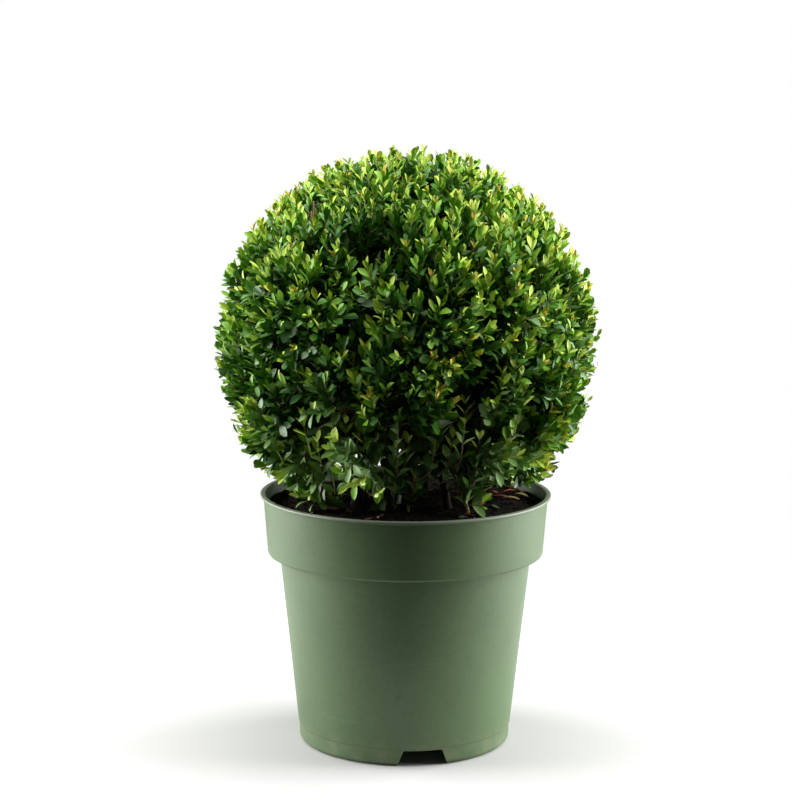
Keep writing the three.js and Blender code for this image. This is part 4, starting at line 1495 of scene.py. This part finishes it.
        # Painted light: the sprigs' leaves take the lightened tints under the ball
        self.leaves_along(stem, first=0.3, size=1.1, youth=0.1, low=True, ball=False)
        for number, (x, y, z, youth) in enumerate(shoots):
            root = point_on(stem, lerp(0.55, 0.10, number / len(shoots)))
            aside = Vector((x, y, 0)).normalized()
            end = ground + Vector((x, y, z))
            outset = (aside + UP * 0.5).normalized()
            shoot = self.shoot(root, outset, end, UP + aside * 0.3, SIDE_SHOOT_RADII)
            self.leaves_along(shoot, first=0.3, size=1.15, youth=youth, low=True, ball=False)


def leaf_pieces(growth, prefix):
    """Joins a growth's leaves by tint, in pieces that stay small enough."""
    for tint, rows in growth.leaves.items():
        *_, width, roughness = LEAF_KINDS[tint]
        colour = tuple(getattr(growth.settings, tint))
        material = bpy.data.materials.get(f"leaf_{tint}") or plain_material(
            f"leaf_{tint}", colour, roughness, LEAF_SHINE)
        outline = INNER_LEAF_ROWS if tint == "inner" else LEAF_ROWS
        for start in range(0, len(rows), LEAVES_A_PIECE):
            leaves = leaf_mesh(rows[start:start + LEAVES_A_PIECE], width, outline)
            name = f"{prefix}_{tint}_{start // LEAVES_A_PIECE + 1}"
            finish_piece(leaves, name, material)


def crown_nodes():
    return ["crown_top"] + [
        f"{level}_foliage_{i + 1}" for i in range(SIDE_SHARES) for level in ("upper", "lower")]


class HOLLY_OT_crown(bpy.types.Operator):
    """Grow the clipped ball: branches, sprays of shoots, and their leaves"""

    bl_idname = "holly.crown"
    bl_label = "Crown"

    def execute(self, context):
        settings = context.scene.holly_crown
        growth = Growth(settings, settings.seed)
        growth.crown()
        wood = bark("branch_bark", rgb(70, 54, 38), scale=2.0)
        branches = twig_mesh(growth.branches, sides=6, rings=8)
        finish_piece(branches, "crown_branches", wood, crown_nodes())
        young = plain_material("young_twig", rgb(124, 108, 64), roughness=0.6)
        twigs = twig_mesh(growth.twigs, sides=3, rings=4)
        finish_piece(twigs, "crown_twigs", young)
        brown = plain_material("cut_twig", rgb(104, 66, 46), roughness=0.7)
        stubs = twig_mesh(growth.stubs, sides=5, rings=2)
        finish_piece(stubs, "clipped_stubs", brown)
        leaf_pieces(growth, "leaves")
        return {"FINISHED"}


class HOLLY_OT_sprigs(bpy.types.Operator):
    """Grow the low sprigs that come out of the soil under the ball"""

    bl_idname = "holly.sprigs"
    bl_label = "Low sprigs"

    def execute(self, context):
        growth = Growth(context.scene.holly_crown, seed=101)
        for (foot, lean, height), shoots in zip(LOW_SPRIGS, SPRIG_SHOOTS):
            growth.sprig(foot, lean, height, shoots)
        nodes = [f"low_sprig_{i + 1}" for i in range(len(LOW_SPRIGS))]
        young = bpy.data.materials["young_twig"]
        twigs = twig_mesh(growth.twigs, sides=5, rings=6)
        finish_piece(twigs, "sprig_twigs", young, nodes)
        leaf_pieces(growth, "sprig_leaves")
        return {"FINISHED"}


# Stage


def soft_box(name, location, target, size, watts):
    """A rectangular lamp of a width and height, turned to its target."""
    toward = Vector(target) - Vector(location)
    bpy.ops.object.light_add(
        type="AREA", location=location, rotation=toward.to_track_quat("-Z", "Y").to_euler())
    lamp = bpy.context.object
    lamp.name = name
    lamp.data.shape = "RECTANGLE"
    lamp.data.size, lamp.data.size_y = size
    lamp.data.energy = watts


def light_room(fill):
    """A room that is white to look at and gives only a dim light."""
    world = bpy.data.worlds.new("studio")
    bpy.context.scene.world = world
    world.use_nodes = True
    seen = Shade(world.node_tree).node("ShaderNodeLightPath", output="Is Camera Ray")
    feed(world.node_tree.nodes["Background"], {
        "Color": (1, 1, 1, 1),
        "Strength": seen * (1 - fill) + fill,
    })


class HOLLY_OT_stage(bpy.types.Operator):
    """Set up the pale floor, the soft lights and the camera"""

    bl_idname = "holly.stage"
    bl_label = "Stage"

    def execute(self, context):
        settings = context.scene.holly_stage
        deselect()
        bpy.ops.object.camera_add(
            location=(0, -settings.distance, settings.height),
            rotation=(pi / 2 - settings.pitch, -settings.roll, settings.yaw))
        camera = context.object
        camera.data.lens = settings.lens
        camera.data.sensor_width = 36
        context.scene.camera = camera
        context.scene.view_settings.view_transform = "Standard"
        bpy.ops.mesh.primitive_plane_add(size=1)
        floor = context.object
        floor.name = "floor"
        floor.data.transform(Matrix.Translation(FLOOR_MIDDLE) @ Matrix.Diagonal((*FLOOR_SIZE, 1, 1)))
        floor.data.materials.append(plain_material("floor_paper", (0.51, 0.51, 0.50), roughness=0.9))
        left_watts = settings.side_light * LEFT_BOX_SHARE
        right_watts = settings.side_light * RIGHT_BOX_SHARE
        soft_box("top_box", (0, -0.03, 1.30), (0, 0, 0.3), (1.3, 0.80), settings.top_light)
        soft_box("left_box", (-1.2, 0.22, 0.46), (0, 0, 0.24), (1.1, 1.0), left_watts)
        soft_box("right_box", (1.2, 0.22, 0.50), (0, 0, 0.28), (1.1, 1.1), right_watts)
        light_room(settings.fill)
        return {"FINISHED"}


class HOLLY_PT_panel(bpy.types.Panel):
    """The pieces of the plant, in the order in which they are made"""

    bl_idname = "HOLLY_PT_panel"
    bl_label = "Potted Holly"
    bl_space_type = "VIEW_3D"
    bl_region_type = "UI"
    bl_category = "Holly"

    def draw(self, context):
        scene = context.scene
        for heading, settings, steps in (
            ("Pot", scene.holly_pot, ["holly.pot"]),
            ("Soil", scene.holly_soil, ["holly.soil", "holly.litter"]),
            ("Limbs", scene.holly_limbs, ["holly.limbs"]),
            ("Crown", scene.holly_crown, ["holly.crown", "holly.sprigs"]),
            ("Stage", scene.holly_stage, ["holly.stage"]),
        ):
            box = self.layout.box()
            box.label(text=heading)
            for name in settings.__annotations__:
                box.prop(settings, name)
            for step in steps:
                box.operator(step)


SETTINGS = {
    "holly_pot": PotSettings,
    "holly_soil": SoilSettings,
    "holly_limbs": LimbSettings,
    "holly_crown": CrownSettings,
    "holly_stage": StageSettings,
}
CLASSES = (
    *SETTINGS.values(),
    HOLLY_OT_pot,
    HOLLY_OT_soil,
    HOLLY_OT_litter,
    HOLLY_OT_limbs,
    HOLLY_OT_crown,
    HOLLY_OT_sprigs,
    HOLLY_OT_stage,
    HOLLY_PT_panel,
)


def register():
    for each in CLASSES:
        bpy.utils.register_class(each)
    for name, group in SETTINGS.items():
        setattr(bpy.types.Scene, name, PointerProperty(type=group))


def unregister():
    for name in SETTINGS:
        delattr(bpy.types.Scene, name)
    for each in reversed(CLASSES):
        bpy.utils.unregister_class(each)


def main():
    register()
    bpy.ops.holly.stage()
    bpy.ops.holly.pot()
    bpy.ops.holly.soil()
    bpy.ops.holly.litter()
    bpy.ops.holly.limbs()
    bpy.ops.holly.crown()
    bpy.ops.holly.sprigs()


if __name__ == "__main__":
    main()
